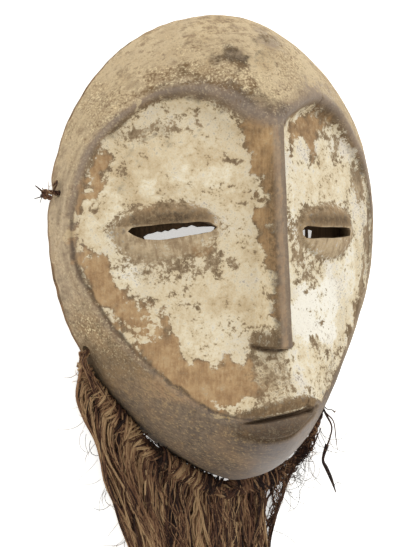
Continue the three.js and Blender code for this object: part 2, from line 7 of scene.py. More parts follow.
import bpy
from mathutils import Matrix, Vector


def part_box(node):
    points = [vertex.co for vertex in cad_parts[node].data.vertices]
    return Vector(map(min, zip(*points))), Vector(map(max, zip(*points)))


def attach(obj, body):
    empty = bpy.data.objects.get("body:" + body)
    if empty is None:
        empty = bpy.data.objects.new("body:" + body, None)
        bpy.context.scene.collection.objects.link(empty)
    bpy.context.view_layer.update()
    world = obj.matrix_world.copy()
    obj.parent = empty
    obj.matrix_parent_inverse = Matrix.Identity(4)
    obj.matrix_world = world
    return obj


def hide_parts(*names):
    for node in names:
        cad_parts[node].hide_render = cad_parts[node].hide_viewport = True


bl_info = {
    "name": "Carved mask with a raffia beard",
    "version": (1, 0, 0),
    "blender": (4, 5, 0),
    "location": "3D View > Sidebar > Mask",
    "description": "Builds a heart-faced mask of worn whitened wood, its raffia beard and its ties",
    "category": "Add Mesh",
}

import math
import random
from types import SimpleNamespace

import bpy
import numpy as np
from mathutils import Matrix, Vector

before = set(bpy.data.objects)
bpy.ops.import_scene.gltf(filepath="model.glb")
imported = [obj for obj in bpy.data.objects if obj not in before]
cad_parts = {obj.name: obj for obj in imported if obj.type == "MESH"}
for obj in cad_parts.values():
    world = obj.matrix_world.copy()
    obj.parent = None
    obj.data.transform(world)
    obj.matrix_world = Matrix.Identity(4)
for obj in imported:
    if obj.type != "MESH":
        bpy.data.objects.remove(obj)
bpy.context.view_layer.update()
MM = 0.001

# The photograph's frame in pixels, and how far its line of sight leans sideways for each step down
PHOTO_HEIGHT = 547
FOCAL_PIXELS = 1108
VIEW_LEAN = 0.46

# Carving, in millimetres
RIM_HALF_WIDTH = 88.5
WIDEST_Y = 5.0
RISE_TO_CROWN = 103.0
DROP_TO_CHIN = 125.0
HOLLOW_HALF_WIDTH = 71.0
HOLLOW_RISE = 86.0
HOLLOW_DROP = 104.0
HOLLOW_DEPTH = 41.0
HOLLOW_STEPS = 72
WALL_WIDTH = 5.2
LEAST_LEDGE = 0.9
BRIDGE_HALF_WIDTH = 2.2
NOSE_FOOT_Y = -51.4
EYES = [
    {"x": -43.6, "y": 3.2, "reach": 21.7, "up": 11.6, "down": 14.4, "swell": 4.6},
    {"x": 38.5, "y": 2.4, "reach": 20.9, "up": 12.6, "down": 14.2, "swell": 4.6},
]
LEFT_SLIT = {"x": -42, "y": 2.2, "slope": 0.5, "sunk": 6.5}
LEFT_SLIT_EDGE = [
    (-60.2, 1.6), (-58.8, 3.2), (-55.7, 3.7), (-51.4, 4.1), (-48, 4.6), (-42.7, 5.0), (-37.5, 5.0),
    (-32.2, 5.5), (-27.8, 5.3), (-24.4, 3.3), (-27, 1.4), (-32.3, 0.3), (-37.6, -0.3), (-42.8, -1.6),
    (-48, -2.5), (-54.4, -2.1), (-58.3, 0),
]
RIGHT_SLIT = {"x": 36.4, "y": 0.9, "slope": -0.5, "sunk": 8}
RIGHT_SLIT_EDGE = [
    (18.4, 1.4), (19.2, 3), (21, 3.9), (26, 3.6), (32, 3.3), (40, 3.4), (48, 3.5), (53.5, 3.2), (54.6, 1.6),
    (54.2, -0.8), (48, -1.6), (40, -1.9), (31, -1.9), (25, -2.3), (20.6, -1.9), (18.8, -0.4),
]
LEFT_SIGHT = [
    (-54.9, -0.8), (-53.2, 0.3), (-51.5, 0.6), (-49.6, 1.5), (-48, 1.3), (-46.6, 2.2), (-45.4, 1.8),
    (-43.4, 2.9), (-41.9, 2.5), (-39.3, 3.6), (-37.6, 3.3), (-35.7, 4.1), (-33.4, 3.2), (-30.5, 3.7),
    (-27, 3.6), (-24.9, 3.1), (-27.4, 1.5), (-32.4, 0.4), (-37.6, -0.2), (-42.8, -1.5), (-48, -2.4),
    (-54.2, -2),
]
RIGHT_SIGHTS = [
    [(18.7, -0.2), (18.7, 1.9), (21.6, 2.4), (21.4, -0.8), (20.2, -1.3)],
    [(23, 2.3), (25.5, 1.8), (25.4, -1.7), (23.3, -1.8)],
]
MOUTH_X = 0.8
MOUTH_Y = -82.0
MOUTH_TILT = 0.13
MOUTH_HALF_WIDTH = 19.0
UPPER_LIP = 5.6
LOWER_LIP = 9.2
LEFT_JAW_BORE_Y = -54.6
RIGHT_JAW_BORE_Y = -79.3
TEMPLE_BORE_Y = 20.0
BORE_Z = 5.2
JAW_BORE_RADIUS = 2.6
TEMPLE_BORE_RADIUS = 1.7
ABOVE_FACE = 90.0
BELOW_RIM = -5.0

# Beard, in millimetres, with t from 0 at the viewer's left jaw to 1 at the right
LEFT_KNOT_DEPTH = 29.0
RIGHT_KNOT_DEPTH = 26.0
HEADER_START_Y = -63.6
HEADER_RADIUS = 4.2
BARE_HEADER_RADIUS = 2.6
HEADER_Z = 4.6
OFF_RIM_AT = [-0.03, 0.03, 0.1, 0.3, 0.5, 0.56, 0.61, 0.66, 0.7, 0.75, 0.8, 0.85, 0.89]
OFF_RIM = [3.2, 4.4, 5, 5, 5, 5.5, 7.2, 10, 12.6, 14.2, 12.6, 8.6, 6]
TOUCH_GAP = 0.3
EDGE_ROOM = 2.4
DENSE_HANKS = 12
HANK_CLUMPS = 11
HANK_UNDERLAYER = 8
LOCK_CLUMPS = 4
FUZZ_STEP = 2.2
DENSE_START = -0.03
DENSE_END = 0.68
LOCKS = [0.71, 0.74, 0.775]
LOCKS_REACH = 14.0
BEARD_DROP = 226.0
HANK_HEAD_THICKNESS = 8.4
HANK_TIP_THICKNESS = 5.0
LEFT_EDGE_Y = [-250, -200, -148, -137, -126, -116, -105, -95, -84, -74, -64, -56]
LEFT_EDGE_X = [-30, -38, -51.5, -55.7, -58.9, -63, -64.8, -67.6, -73.4, -76.6, -74.8, -73]
RIGHT_EDGE_Y = [-250, -200, -157, -135, -119, -112]
RIGHT_EDGE_X = [30, 28, 23.1, 21.2, 24.7, 40]
PARTING = {"x": -20.8, "y": -129, "width": 4.5, "length": 12, "opening": 1.7}
# Where the ground shows between rim and cord, as from x, to x and how much slimmer the binding is
RIM_GAPS = [(-49, -34, 0.4), (-9, 4, 1.0)]

# Where the mask's own plan lies in the frame
low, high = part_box("mask")
MASK_ORIGIN = Vector((low.x + RIM_HALF_WIDTH * MM, high.y - (WIDEST_Y + RISE_TO_CROWN) * MM, 0))


# Small maths on numbers and arrays

def smoothstep(start, end, value):
    t = np.clip((value - start) / (end - start), 0, 1)
    return t * t * (3 - 2 * t)


def mix(a, b, t):
    return a + (b - a) * t


def smooth_max(a, b, blend):
    t = np.clip(0.5 + 0.5 * (a - b) / blend, 0, 1)
    return mix(b, a, t) + blend * t * (1 - t) * 0.5


def bell(value, middle, width):
    """1 at the middle, and falling away smoothly to either side of it."""
    return np.exp(-(((value - middle) / width) ** 2))


def srgb(red, green, blue):
    """A colour as it shows on a screen, from 0 to 255, turned into light."""
    return tuple(((part / 255 + 0.055) / 1.055) ** 2.4 for part in (red, green, blue))


def along(stations, values, at):
    """A smooth curve through a few named stations."""
    stations = np.array(stations, float)
    values = np.array(values, float)
    ends = np.clip(np.arange(len(stations))[:, None] + [-1, 1], 0, len(stations) - 1)
    slopes = np.diff(values[ends], axis=1)[:, 0] / np.diff(stations[ends], axis=1)[:, 0]
    v = np.clip(at, stations[0], stations[-1])
    i = np.clip(np.searchsorted(stations, v, side="left") - 1, 0, len(stations) - 2)
    span = stations[i + 1] - stations[i]
    t = (v - stations[i]) / span
    rise = values[i + 1] - values[i]
    start = slopes[i] * span
    end = slopes[i + 1] * span
    return values[i] + t * (start + t * (3 * rise - 2 * start - end + t * (start + end - 2 * rise)))


def passing(a, b, c, d, t):
    """A smooth line from b to c, on its way from a to d."""
    return 0.5 * (2 * b + t * (c - a + t * (2 * a - 5 * b + 4 * c - d + t * (3 * b - 3 * c + d - a))))


def line_distance(points, x, y):
    """Distance from an open line through points."""
    nearest = np.full(np.shape(x), 1e9)
    for (ax, ay), (bx, by) in zip(points, points[1:]):
        ex, ey = bx - ax, by - ay
        t = np.clip(((x - ax) * ex + (y - ay) * ey) / (ex * ex + ey * ey), 0, 1)
        nearest = np.minimum(nearest, np.hypot(x - ax - t * ex, y - ay - t * ey))
    return nearest


class Outline:
    """A smooth closed line through a few points in plan."""

    def __init__(self, points, steps=6):
        knots = np.array(points, float)
        count = len(knots)
        place = np.linspace(0, count, count * steps, endpoint=False)
        i = place.astype(int)
        line = passing(*(knots[(i + k) % count] for k in (-1, 0, 1, 2)), (place - i)[:, None])
        self.line = np.vstack([line[-1:], line])

    def depth(self, x, y):
        """Distance in from the line, negative outside it."""
        inside = np.zeros(np.shape(x), bool)
        for (ax, ay), (bx, by) in zip(self.line, self.line[1:]):
            crosses = (ay > y) != (by > y)
            inside ^= crosses & (x < ax + (y - ay) * (bx - ax) / ((by - ay) or 1e-9))
        return np.where(inside, 1, -1) * line_distance(self.line, x, y)


def wander(x, y, size, seed):
    """A smooth wavering between about -1 and 1, with waves of about the given size."""
    draws = np.random.default_rng(seed)
    total = np.zeros(np.shape(x))
    for _ in range(6):
        way = draws.uniform(0, math.pi)
        pace = 2 * math.pi / (size * draws.uniform(0.7, 1.7))
        total += np.sin(pace * (x * math.cos(way) + y * math.sin(way)) + draws.uniform(0, 2 * math.pi))
    return total / 2.4


# Carved front

CREST = Outline([
    (0, 49.7), (-10.3, 52.8), (-21.4, 61.8), (-35, 65.2), (-50, 62), (-66.4, 49), (-76, 34.3),
    (-82, 10), (-81.3, -11), (-72, -33), (-57.5, -54.3), (-40, -72), (-24, -82.5), (0, -83.5),
    (24, -80.5), (40, -71.5), (57.5, -54.3), (72, -33), (81.3, -11), (82, 10), (75.5, 32.5),
    (62, 45.2), (47, 58.4), (32, 63.8), (20, 60.8), (9, 55),
], steps=9)
BROW_CRACK = [(35.5, 74), (34, 67), (32.5, 62), (31, 57)]
LID_CRACK = [(-55, 15.2), (-50, 17), (-47, 18), (-45, 17.2), (-43, 17.2), (-39, 19), (-37, 20), (-34, 21)]


def rim_half_width(y):
    d = np.abs(y - WIDEST_Y)
    crown = np.sqrt(np.maximum(0, 1 - (d / RISE_TO_CROWN) ** 2))
    chin = np.maximum(0, 1 - (d / DROP_TO_CHIN) ** 2.05) ** 0.75
    return RIM_HALF_WIDTH * np.where(y >= WIDEST_Y, crown, chin)


def side_fall(x, y, sharpness, fullness, rounding):
    reach = np.hypot(rim_half_width(y), rounding) - rounding + 1e-9
    u = np.clip((np.hypot(x, rounding) - rounding) / reach, 0, 1)
    return np.maximum(0, 1 - u ** sharpness) ** fullness


def end_fall(y, crown_power, chin_power):
    d = np.abs(y - WIDEST_Y)
    crown = (d / RISE_TO_CROWN) ** crown_power
    chin = (d / DROP_TO_CHIN) ** chin_power
    return np.sqrt(np.maximum(0, 1 - np.where(y >= WIDEST_Y, crown, chin)))


def dome_height(x, y):
    peak = along([-120, -95, -50, 0, 50, 80], [71, 71, 64.5, 64, 68.9, 68.9], y)
    stations = [-120, -90, -50, 0, 55, 100]
    sharpness = along(stations, [1.84, 1.84, 1.54, 0.97, 1.49, 1.4], y)
    fullness = along(stations, [0.86, 0.86, 0.81, 0.655, 0.73, 0.76], y)
    return peak * end_fall(y, 1.85, 5) * side_fall(x, y, sharpness, fullness, 8)


def face_height(x, y):
    peak = along([-100, -82, -65, -50, 0, 40, 70], [69, 68.5, 62, 57, 55, 54.5, 54.5], y)
    stations = [-90, -80, -60, -40, 0, 70]
    sharpness = along(stations, [1.84, 1.8, 1.35, 1.12, 1.08, 1.08], y)
    fullness = along(stations, [0.86, 0.84, 0.64, 0.65, 0.66, 0.66], y)
    return peak * end_fall(y, 2.4, 5) * side_fall(x, y, sharpness, fullness, 3)


def nose_half_width(y):
    widths = [11, 10.5, 7.6, 6.4, 6.4, 8, 10.2, 13, 16.6, 20.6]
    return along([-55, -49, -25, 0, 20, 38, 43, 48, 54, 58], widths, y)


def nose_foot(x):
    return NOSE_FOOT_Y + 0.018 * x * x


def nose_height(x, y):
    half = nose_half_width(y)
    side = np.clip((np.abs(x) - BRIDGE_HALF_WIDTH) / (half - BRIDGE_HALF_WIDTH), 0, 1)
    foot = smoothstep(nose_foot(x) - 0.7, nose_foot(x) + 0.7, y)
    bridge = along([-55, -49, 0, 40, 50, 58, 66, 84, 108], [69, 69, 66, 63, 61.3, 57, 50, 20, -20], y)
    base = face_height(x, y) - 1
    return base + (bridge - base) * (1 - side) * foot


def eye_radius(eye, x, y):
    tall = np.where(y > eye["y"], eye["up"], eye["down"])
    return np.hypot((x - eye["x"]) / eye["reach"], (y - eye["y"]) / tall)


def lid_lift(eye, x, y):
    return eye["swell"] * np.sqrt(np.maximum(0, 1 - eye_radius(eye, x, y) ** 2.4))


def mouth_line(x):
    return MOUTH_Y + MOUTH_TILT * (x - MOUTH_X)


def mouth_lift(x, y):
    taper = np.maximum(0, 1 - ((x - MOUTH_X) / MOUTH_HALF_WIDTH) ** 2)
    up = y - mouth_line(x)
    roll = np.where(up > 0, -2 * np.maximum(0, 1 - up / UPPER_LIP) ** 2, 0)
    down = -up / (LOWER_LIP * taper + 0.01)
    bead = np.sin(np.pi * np.clip(down, 0, 1))
    swell = np.where(up < 0, (1.3 + 0.9 * bead) * (1 - smoothstep(0.94, 1.12, down)), 0)
    return roll * np.sqrt(taper) + swell * smoothstep(0, 0.35, taper)


def carved_height(x, y):
    dome = dome_height(x, y)
    depth = CREST.depth(x, y)
    wall = smoothstep(-1.4, WALL_WIDTH + 1, depth)
    face = np.minimum(face_height(x, y), dome - LEAST_LEDGE * smoothstep(0, 8, dome))
    ground = mix(dome, face, wall)
    nosed = smooth_max(ground, nose_height(x, y), mix(0.8, 4.5, smoothstep(30, 50, y)))
    lids = sum(lid_lift(eye, x, y) for eye in EYES)
    bead = 0.7 * bell(depth, -1.5, 2.6) - 0.45 * bell(depth, -6.5, 2.2)
    bead = bead * smoothstep(70, 20, y) * smoothstep(-70, -20, y)
    cracks = 0.9 * bell(line_distance(BROW_CRACK, x, y), 0, 0.45)
    cracks += 0.5 * bell(line_distance(LID_CRACK, x, y), 0, 0.4)
    return np.maximum(0, nosed + lids + bead * (x < 0) + mouth_lift(x, y) - cracks)


# Hollow back

def hollow_share(y):
    return np.where(y >= WIDEST_Y, (y - WIDEST_Y) / HOLLOW_RISE, (WIDEST_Y - y) / HOLLOW_DROP)


def hollow_half_width(y):
    power = np.where(y >= WIDEST_Y, 0.5, 0.7)
    return HOLLOW_HALF_WIDTH * np.maximum(0, 1 - hollow_share(y) ** 2) ** power


def hollow_height(x, y):
    half = np.maximum(hollow_half_width(y), 1e-6)
    ends = np.sqrt(np.maximum(0, 1 - hollow_share(y) ** np.where(y >= WIDEST_Y, 3, 5)))
    return HOLLOW_DEPTH * ends * np.maximum(0, 1 - np.minimum(1, np.abs(x) / half) ** 1.7) ** 0.7


# Beard's course, as arrays of millimetres

def unit(way):
    return way / np.linalg.norm(way)


def header_outline(t):
    spread = math.acos((WIDEST_Y - HEADER_START_Y) / DROP_TO_CHIN)
    turn = math.pi + mix(-spread, spread, t)
    y = WIDEST_Y + DROP_TO_CHIN * math.cos(turn)
    return np.array([-math.copysign(1, math.sin(turn)) * float(rim_half_width(y)), y, 0])


def header_radius(t):
    dense = float(along([DENSE_START, 0.06, 0.15], [2, 4, HEADER_RADIUS], t))
    return mix(dense, BARE_HEADER_RADIUS, float(smoothstep(DENSE_END, DENSE_END + 0.08, t)))


def header_place(t):
    """The cord's middle at t, the way along it and the way out of the rim."""
    step = 0.004
    way = unit(header_outline(t + step) - header_outline(t - step))
    out = np.array([way[1], -way[0], 0])
    at = header_outline(t) + out * float(along(OFF_RIM_AT, OFF_RIM, t))
    return at + np.array([0, 0, HEADER_Z]), way, out


def gap_beside(t):
    """How much slimmer the header is at t where the ground shows between it and the rim."""
    x = header_place(t)[0][0]
    return sum(slimmer for start, end, slimmer in RIM_GAPS if start < x < end)


def strand_course(t):
    """The four handles of the strand that starts at t, in plan."""
    at, _, out = header_place(t)
    dense = min(1, max(0, (t - DENSE_START) / (DENSE_END - DENSE_START)))
    bare = min(1, max(0, (t - DENSE_END) / 0.1))
    drop = BEARD_DROP + 26 * math.sin(math.pi * (0.15 + 0.75 * dense)) + 5 * math.sin(23 * t)
    tip = np.array([mix(-22, 14, dense) + 22 * bare ** 0.9, -mix(drop, 152, bare ** 0.7), 0])
    clear = TOUCH_GAP + 0.2 + 1.5 * (1 - float(smoothstep(DENSE_START, 0.06, t)))
    head = at + out * (header_radius(t) + clear)
    head[2] = 0
    leave = head + out * (mix(9, 0, dense) - bare) + np.array([0, mix(-16, -9, dense), 0])
    sway = mix(mix(-15, 6, dense), 0.4 * (head[0] - tip[0]), min(1, 4 * bare))
    near = tip + np.array([sway, 0.4 * (head[1] - tip[1]), 0])
    return head, leave, near, tip


def course_line(t_head, t_tip, shares):
    """A line that leaves the header at one strand's place and ends at another's."""
    s = shares[:, None]
    r = 1 - s
    lines = []
    for a, b, c, d in (strand_course(t_head), strand_course(t_tip)):
        lines.append(a * r ** 3 + b * (3 * r * r * s) + c * (3 * r * s * s) + d * s ** 3)
    return mix(lines[0], lines[1], smoothstep(0, 1, s))


def eased(inward):
    """A distance in from a side, eased so that it never passes the side."""
    return np.where(inward > EDGE_ROOM, inward, EDGE_ROOM * np.exp((inward - EDGE_ROOM) / EDGE_ROOM))


def within_beard(line, spare=0.0):
    """Eases a strand back inside the beard's two sides, and out of its one parting."""
    x, y, z = line.T
    lean = VIEW_LEAN * (z - HEADER_Z)
    left_edge = along(LEFT_EDGE_Y, LEFT_EDGE_X, y) - lean
    spared = 0.04 + 0.96 * smoothstep(-165, -118, y)
    right_edge = along(RIGHT_EDGE_Y, RIGHT_EDGE_X, y) - lean + spare * spared
    x = left_edge + eased(x - left_edge)
    x = right_edge - eased(right_edge - x)
    aside = x - PARTING["x"] + 0.35 * (y - PARTING["y"])
    near = bell(aside, 0, PARTING["width"]) * bell(y, PARTING["y"], PARTING["length"])
    x = x + np.tanh(aside / 1.4) * PARTING["opening"] * near
    return np.column_stack([x, y, z])


# Finishes: shader maths as Python expressions

class Value:
    """A socket of a material, on which sums and products add Math nodes."""

    def __init__(self, finish, socket):
        self.finish = finish
        self.socket = socket

    def _math(self, operation, *values):
        return self.finish.node("ShaderNodeMath", {"operation": operation}, *values)

    def __add__(self, other):
        return self._math("ADD", self, other)

    def __sub__(self, other):
        return self._math("SUBTRACT", self, other)

    def __mul__(self, other):
        return self._math("MULTIPLY", self, other)

    def __rsub__(self, other):
        return self._math("SUBTRACT", other, self)

    __radd__ = __add__
    __rmul__ = __mul__

    def step(self, start, end):
        """0 below start, 1 above end, and smooth between."""
        settings = {"interpolation_type": "SMOOTHSTEP"}
        return self.finish.node("ShaderNodeMapRange", settings, self, start, end, 0.0, 1.0)


class Finish:
    """A material in the making."""

    def __init__(self, name):
        self.material = bpy.data.materials.new(name)
        self.material.use_nodes = True
        self.tree = self.material.node_tree
        self.shader = self.tree.nodes["Principled BSDF"]
        self.place = self.node("ShaderNodeTexCoord", {}, output="Object")

    def node(self, kind, settings, *values, output=0, **named):
        """Adds a node with its settings, then its sockets' values or links in order or by name."""
        node = self.tree.nodes.new(kind)
        for key, setting in settings.items():
            if key == "stops":
                self._stops(node.color_ramp, setting)
            else:
                setattr(node, key, setting)
        sockets = [socket for socket in node.inputs if socket.enabled]
        outputs = [socket for socket in node.outputs if socket.enabled]
        for socket, value in zip(sockets, values):
            self.feed(socket, value)
        for key, value in named.items():
            self.feed(node.inputs[key], value)
        return Value(self, node.outputs[output] if isinstance(output, str) else outputs[output])

    def _stops(self, ramp, stops):
        while len(ramp.elements) < len(stops):
            ramp.elements.new(0.5)
        for element, (position, color) in zip(ramp.elements, stops):
            element.position = position
            element.color = (*color, 1)

    def feed(self, socket, value):
        if isinstance(value, Value):
            self.tree.links.new(value.socket, socket)
        elif hasattr(value, "__len__") and len(value) == 3 and len(socket.default_value) == 4:
            socket.default_value = (*value, 1)
        else:
            socket.default_value = value

    def stretched(self, sx, sy, sz):
        """Object coordinates, scaled so that one unit is the size named for each axis, in mm."""
        scale = tuple(1 / (MM * size) for size in (sx, sy, sz))
        return self.node("ShaderNodeVectorMath", {"operation": "MULTIPLY"}, self.place, scale)

    def swing(self, size, detail=3.0, roughness=0.55, vector=None):
        """Noise about nought, mostly between -1 and 1."""
        place = vector or self.stretched(size, size, size)
        named = {"Vector": place, "Scale": 1.0, "Detail": detail, "Roughness": roughness}
        return (self.node("ShaderNodeTexNoise", {}, **named) - 0.5) * 10

    def layer(self, name):
        return self.node("ShaderNodeAttribute", {"attribute_name": name}, output="Fac")

    def along_way(self, name, sx, sy, sz):
        """A vector attribute in millimetres, scaled as the object coordinates are."""
        way = self.node("ShaderNodeAttribute", {"attribute_name": name}, output="Vector")
        scale = (1 / sx, 1 / sy, 1 / sz)
        return self.node("ShaderNodeVectorMath", {"operation": "MULTIPLY"}, way, scale)

    def blend(self, factor, a, b):
        settings = {"data_type": "RGBA", "clamp_factor": True}
        return self.node("ShaderNodeMix", settings, factor, a, b)

    def ramp(self, value, *stops):
        return self.node("ShaderNodeValToRGB", {"stops": stops}, value, output="Color")

    def bump(self, height, depth_mm):
        named = {"Height": height, "Distance": depth_mm * MM, "Strength": 1.0}
        return self.node("ShaderNodeBump", {}, output="Normal", **named)

    def shade(self, **sockets):
        for name, value in sockets.items():
            self.feed(self.shader.inputs[name.replace("_", " ")], value)
        return self.material


# Objects

def clear_selection():
    if bpy.context.object and bpy.context.object.mode != "OBJECT":
        bpy.ops.object.mode_set(mode="OBJECT")
    bpy.ops.object.select_all(action="DESELECT")


def activate(*pieces):
    clear_selection()
    for piece in pieces:
        piece.select_set(True)
    bpy.context.view_layer.objects.active = pieces[0]


def edit_all(operator, **options):
    """Runs an edit-mode operator on the whole of the active piece."""
    bpy.ops.object.mode_set(mode="EDIT")
    bpy.ops.mesh.select_all(action="SELECT")
    operator(**options)
    bpy.ops.object.mode_set(mode="OBJECT")


def plan_arrays(mesh):
    """Vertex places in the mask's own plan, in millimetres."""
    place = np.empty(len(mesh.vertices) * 3)
    mesh.vertices.foreach_get("co", place)
    place = place.reshape(-1, 3)
    return (place - np.array(MASK_ORIGIN)) / MM


def set_plan(mesh, place):
    mesh.vertices.foreach_set("co", (np.array(place) * MM + np.array(MASK_ORIGIN)).ravel())
    mesh.update()


def set_layer(mesh, name, values):
    layer = mesh.attributes.get(name) or mesh.attributes.new(name, "FLOAT", "POINT")
    layer.data.foreach_set("value", np.asarray(values, np.float32))


def apply_modifier(piece, name):
    activate(piece)
    bpy.ops.object.modifier_apply(modifier=name)


def finish_piece(piece, name, material, nodes):
    piece.name = name
    piece.data.name = name
    piece.data.materials.clear()
    piece.data.materials.append(material)
    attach(piece, "root")
    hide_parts(*nodes)


# Mask

def disc_sheet(steps, half_width, rise, drop, height, edge_share):
    """A grid drawn out over an outline, with its rows closer together towards the edge."""
    clear_selection()
    bpy.ops.mesh.primitive_grid_add(x_subdivisions=steps, y_subdivisions=steps, size=2)
    sheet = bpy.context.object
    count = len(sheet.data.vertices)
    grid = np.empty(count * 3)
    sheet.data.vertices.foreach_get("co", grid)
    u, v = grid.reshape(-1, 3)[:, :2].T
    x = u * np.sqrt(1 - v * v / 2)
    y = v * np.sqrt(1 - u * u / 2)
    draw = (1 + edge_share) - edge_share * (x * x + y * y)
    x, y = x * draw, np.clip(y * draw, -1, 1)
    level = WIDEST_Y + y * np.where(y > 0, rise, drop)
    across = x / np.sqrt(np.maximum(1e-12, 1 - y * y))
    x = np.clip(across, -1, 1) * half_width(level)
    edge = np.maximum(np.abs(u), np.abs(v)) > 1 - 1e-6
    z = np.where(edge, 0, height(x, level))
    set_plan(sheet.data, np.stack([x, level, z], 1))
    return sheet


def standing_cutter(corners, floor, lean=0.0):
    """A prism over a plan outline, from a floor up past the face, leaning about the surface."""
    clear_selection()
    bpy.ops.mesh.primitive_circle_add(vertices=len(corners), fill_type="NGON")
    cutter = bpy.context.object
    edit_all(bpy.ops.mesh.extrude_region_move, TRANSFORM_OT_translate={"value": (0, 0, 1)})
    mesh = cutter.data
    raised = np.array([v.co.z > 0.5 for v in mesh.vertices])
    lower = np.cumsum(~raised) - 1
    upper = np.cumsum(raised) - 1
    plan = np.array([corners[i] for i in np.where(raised, upper, lower)], float)
    surface = carved_height(*plan.T)
    level = np.where(raised, ABOVE_FACE, [floor(x, y) for x, y in plan])
    set_plan(mesh, np.column_stack([plan[:, 0] + lean * (surface - level), plan[:, 1], level]))
    edit_all(bpy.ops.mesh.normals_make_consistent, inside=False)
    return cutter


def slit_cutter(slit, edge):
    """The eye's blind slit, on a floor that slopes across the eye."""
    middle = float(face_height(slit["x"], slit["y"])) - slit["sunk"]
    return standing_cutter(edge, lambda x, y: middle + slit["slope"] * (x - slit["x"]))


def sight_cutter(corners):
    """A hole right through a slit, along the photograph's line of sight."""
    return standing_cutter(corners, lambda x, y: BELOW_RIM, VIEW_LEAN)


def mouth_cutter():
    """The mouth's groove, widest and deepest near its end on the viewer's right."""
    reach = MOUTH_HALF_WIDTH - 0.4
    deepest = 0.86
    shares = np.linspace(-1, 1, 25)
    half = 0.85 * (1 - shares ** 4) + 0.9 * bell(shares, deepest, 0.12) + 0.02
    x = MOUTH_X + reach * shares
    upper = list(zip(x, mouth_line(x) + half))
    lower = list(zip(x, mouth_line(x) - half))[::-1]

    def floor(px, py):
        share = (px - MOUTH_X) / reach
        sunk = 0.4 + 3.4 * (1 - share ** 2) + 2 * bell(share, deepest, 0.15)
        return float(dome_height(px, py) - sunk)

    return standing_cutter(upper + lower, floor)


def rim_place(y, side):
    """The rim's place at a level, at the bores' height, and the way out of the wood."""
    slope = float(rim_half_width(y + 0.5) - rim_half_width(y - 0.5))
    return np.array([side * float(rim_half_width(y)), y, BORE_Z]), unit(np.array([side, -slope, 0]))


def bore_cutter(y, side, radius):
    at, out = rim_place(y, side)
    middle = (at - out * 20) * MM + np.array(MASK_ORIGIN)
    clear_selection()
    turn = Vector(out).to_track_quat("Z", "Y").to_euler()
    bpy.ops.mesh.primitive_cylinder_add(
        vertices=28, radius=radius * MM, depth=64 * MM, location=middle, rotation=turn
    )
    bore = bpy.context.object
    bpy.ops.object.transform_apply(location=True, rotation=True, scale=True)
    return bore


def roughen(piece, name, texture, size, depth, group):
    """Moves the surface in and out by a cloud or cell pattern, and applies it."""
    pattern = bpy.data.textures.new(name, texture)
    pattern.noise_scale = size * MM
    modifier = piece.modifiers.new(name, "DISPLACE")
    modifier.texture = pattern
    modifier.texture_coords = "LOCAL"
    modifier.strength = depth * MM
    modifier.mid_level = 0.5
    modifier.vertex_group = group
    apply_modifier(piece, name)


def join_sheets(front, back):
    """One closed solid from the carved front and the hollow back, across the flat rim."""
    activate(back)
    edit_all(bpy.ops.mesh.flip_normals)
    activate(front, back)
    bpy.ops.object.join()
    mask = bpy.context.object
    bpy.ops.object.mode_set(mode="EDIT")
    bpy.ops.mesh.select_mode(type="EDGE")
    bpy.ops.mesh.select_all(action="DESELECT")
    bpy.ops.mesh.select_non_manifold()
    bpy.ops.mesh.bridge_edge_loops()
    bpy.ops.mesh.select_mode(type="VERT")
    bpy.ops.object.mode_set(mode="OBJECT")
    edit_all(bpy.ops.mesh.normals_make_consistent, inside=False)
    return mask


def cut_openings(mask):
    cutters = [
        slit_cutter(LEFT_SLIT, LEFT_SLIT_EDGE),
        slit_cutter(RIGHT_SLIT, RIGHT_SLIT_EDGE),
        mouth_cutter(),
        sight_cutter(LEFT_SIGHT),
        bore_cutter(LEFT_JAW_BORE_Y, -1, JAW_BORE_RADIUS),
        bore_cutter(RIGHT_JAW_BORE_Y, 1, JAW_BORE_RADIUS),
        bore_cutter(TEMPLE_BORE_Y, -1, TEMPLE_BORE_RADIUS),
        bore_cutter(TEMPLE_BORE_Y, 1, TEMPLE_BORE_RADIUS),
    ]
    cutters += [sight_cutter(sight) for sight in RIGHT_SIGHTS]
    for cutter in cutters:
        cut = mask.modifiers.new("cut", "BOOLEAN")
        cut.operation = "DIFFERENCE"
        cut.solver = "MANIFOLD"
        cut.object = cutter
        apply_modifier(mask, "cut")
        bpy.data.objects.remove(cutter)


def mark_surfaces(mask):
    """Vertex groups for the carved front and the gouged hollow, so that each gets its own marks."""
    x, y, z = plan_arrays(mask.data).T
    weights = {
        "carved": smoothstep(0.5, 6, z) * (z > hollow_height(x, y) + 3),
        "gouged": (z > 1) & (z < hollow_height(x, y) + 1.5),
    }
    for group, weight in weights.items():
        members = mask.vertex_groups.new(name=group)
        steps = np.round(weight.astype(float), 1)
        for share in np.unique(steps[steps > 0]):
            members.add(np.nonzero(steps == share)[0].tolist(), float(share), "REPLACE")


def carve_mask(settings):
    front = disc_sheet(settings.face_steps, rim_half_width, RISE_TO_CROWN, DROP_TO_CHIN, carved_height, 0.1)
    back = disc_sheet(HOLLOW_STEPS, hollow_half_width, HOLLOW_RISE, HOLLOW_DROP, hollow_height, 0.0)
    mask = join_sheets(front, back)
    cut_openings(mask)
    mark_surfaces(mask)
    roughen(mask, "hand carving", "CLOUDS", 26, settings.unevenness, "carved")
    roughen(mask, "crust", "CLOUDS", 2.4, 0.22, "carved")
    roughen(mask, "gouge marks", "VORONOI", 9, 1.2, "gouged")
    mask.vertex_groups.clear()
    paint_layers(mask.data)
    wear_rim(mask.data)
    activate(mask)
    bpy.ops.object.shade_smooth_by_angle(angle=math.radians(50))
    return mask


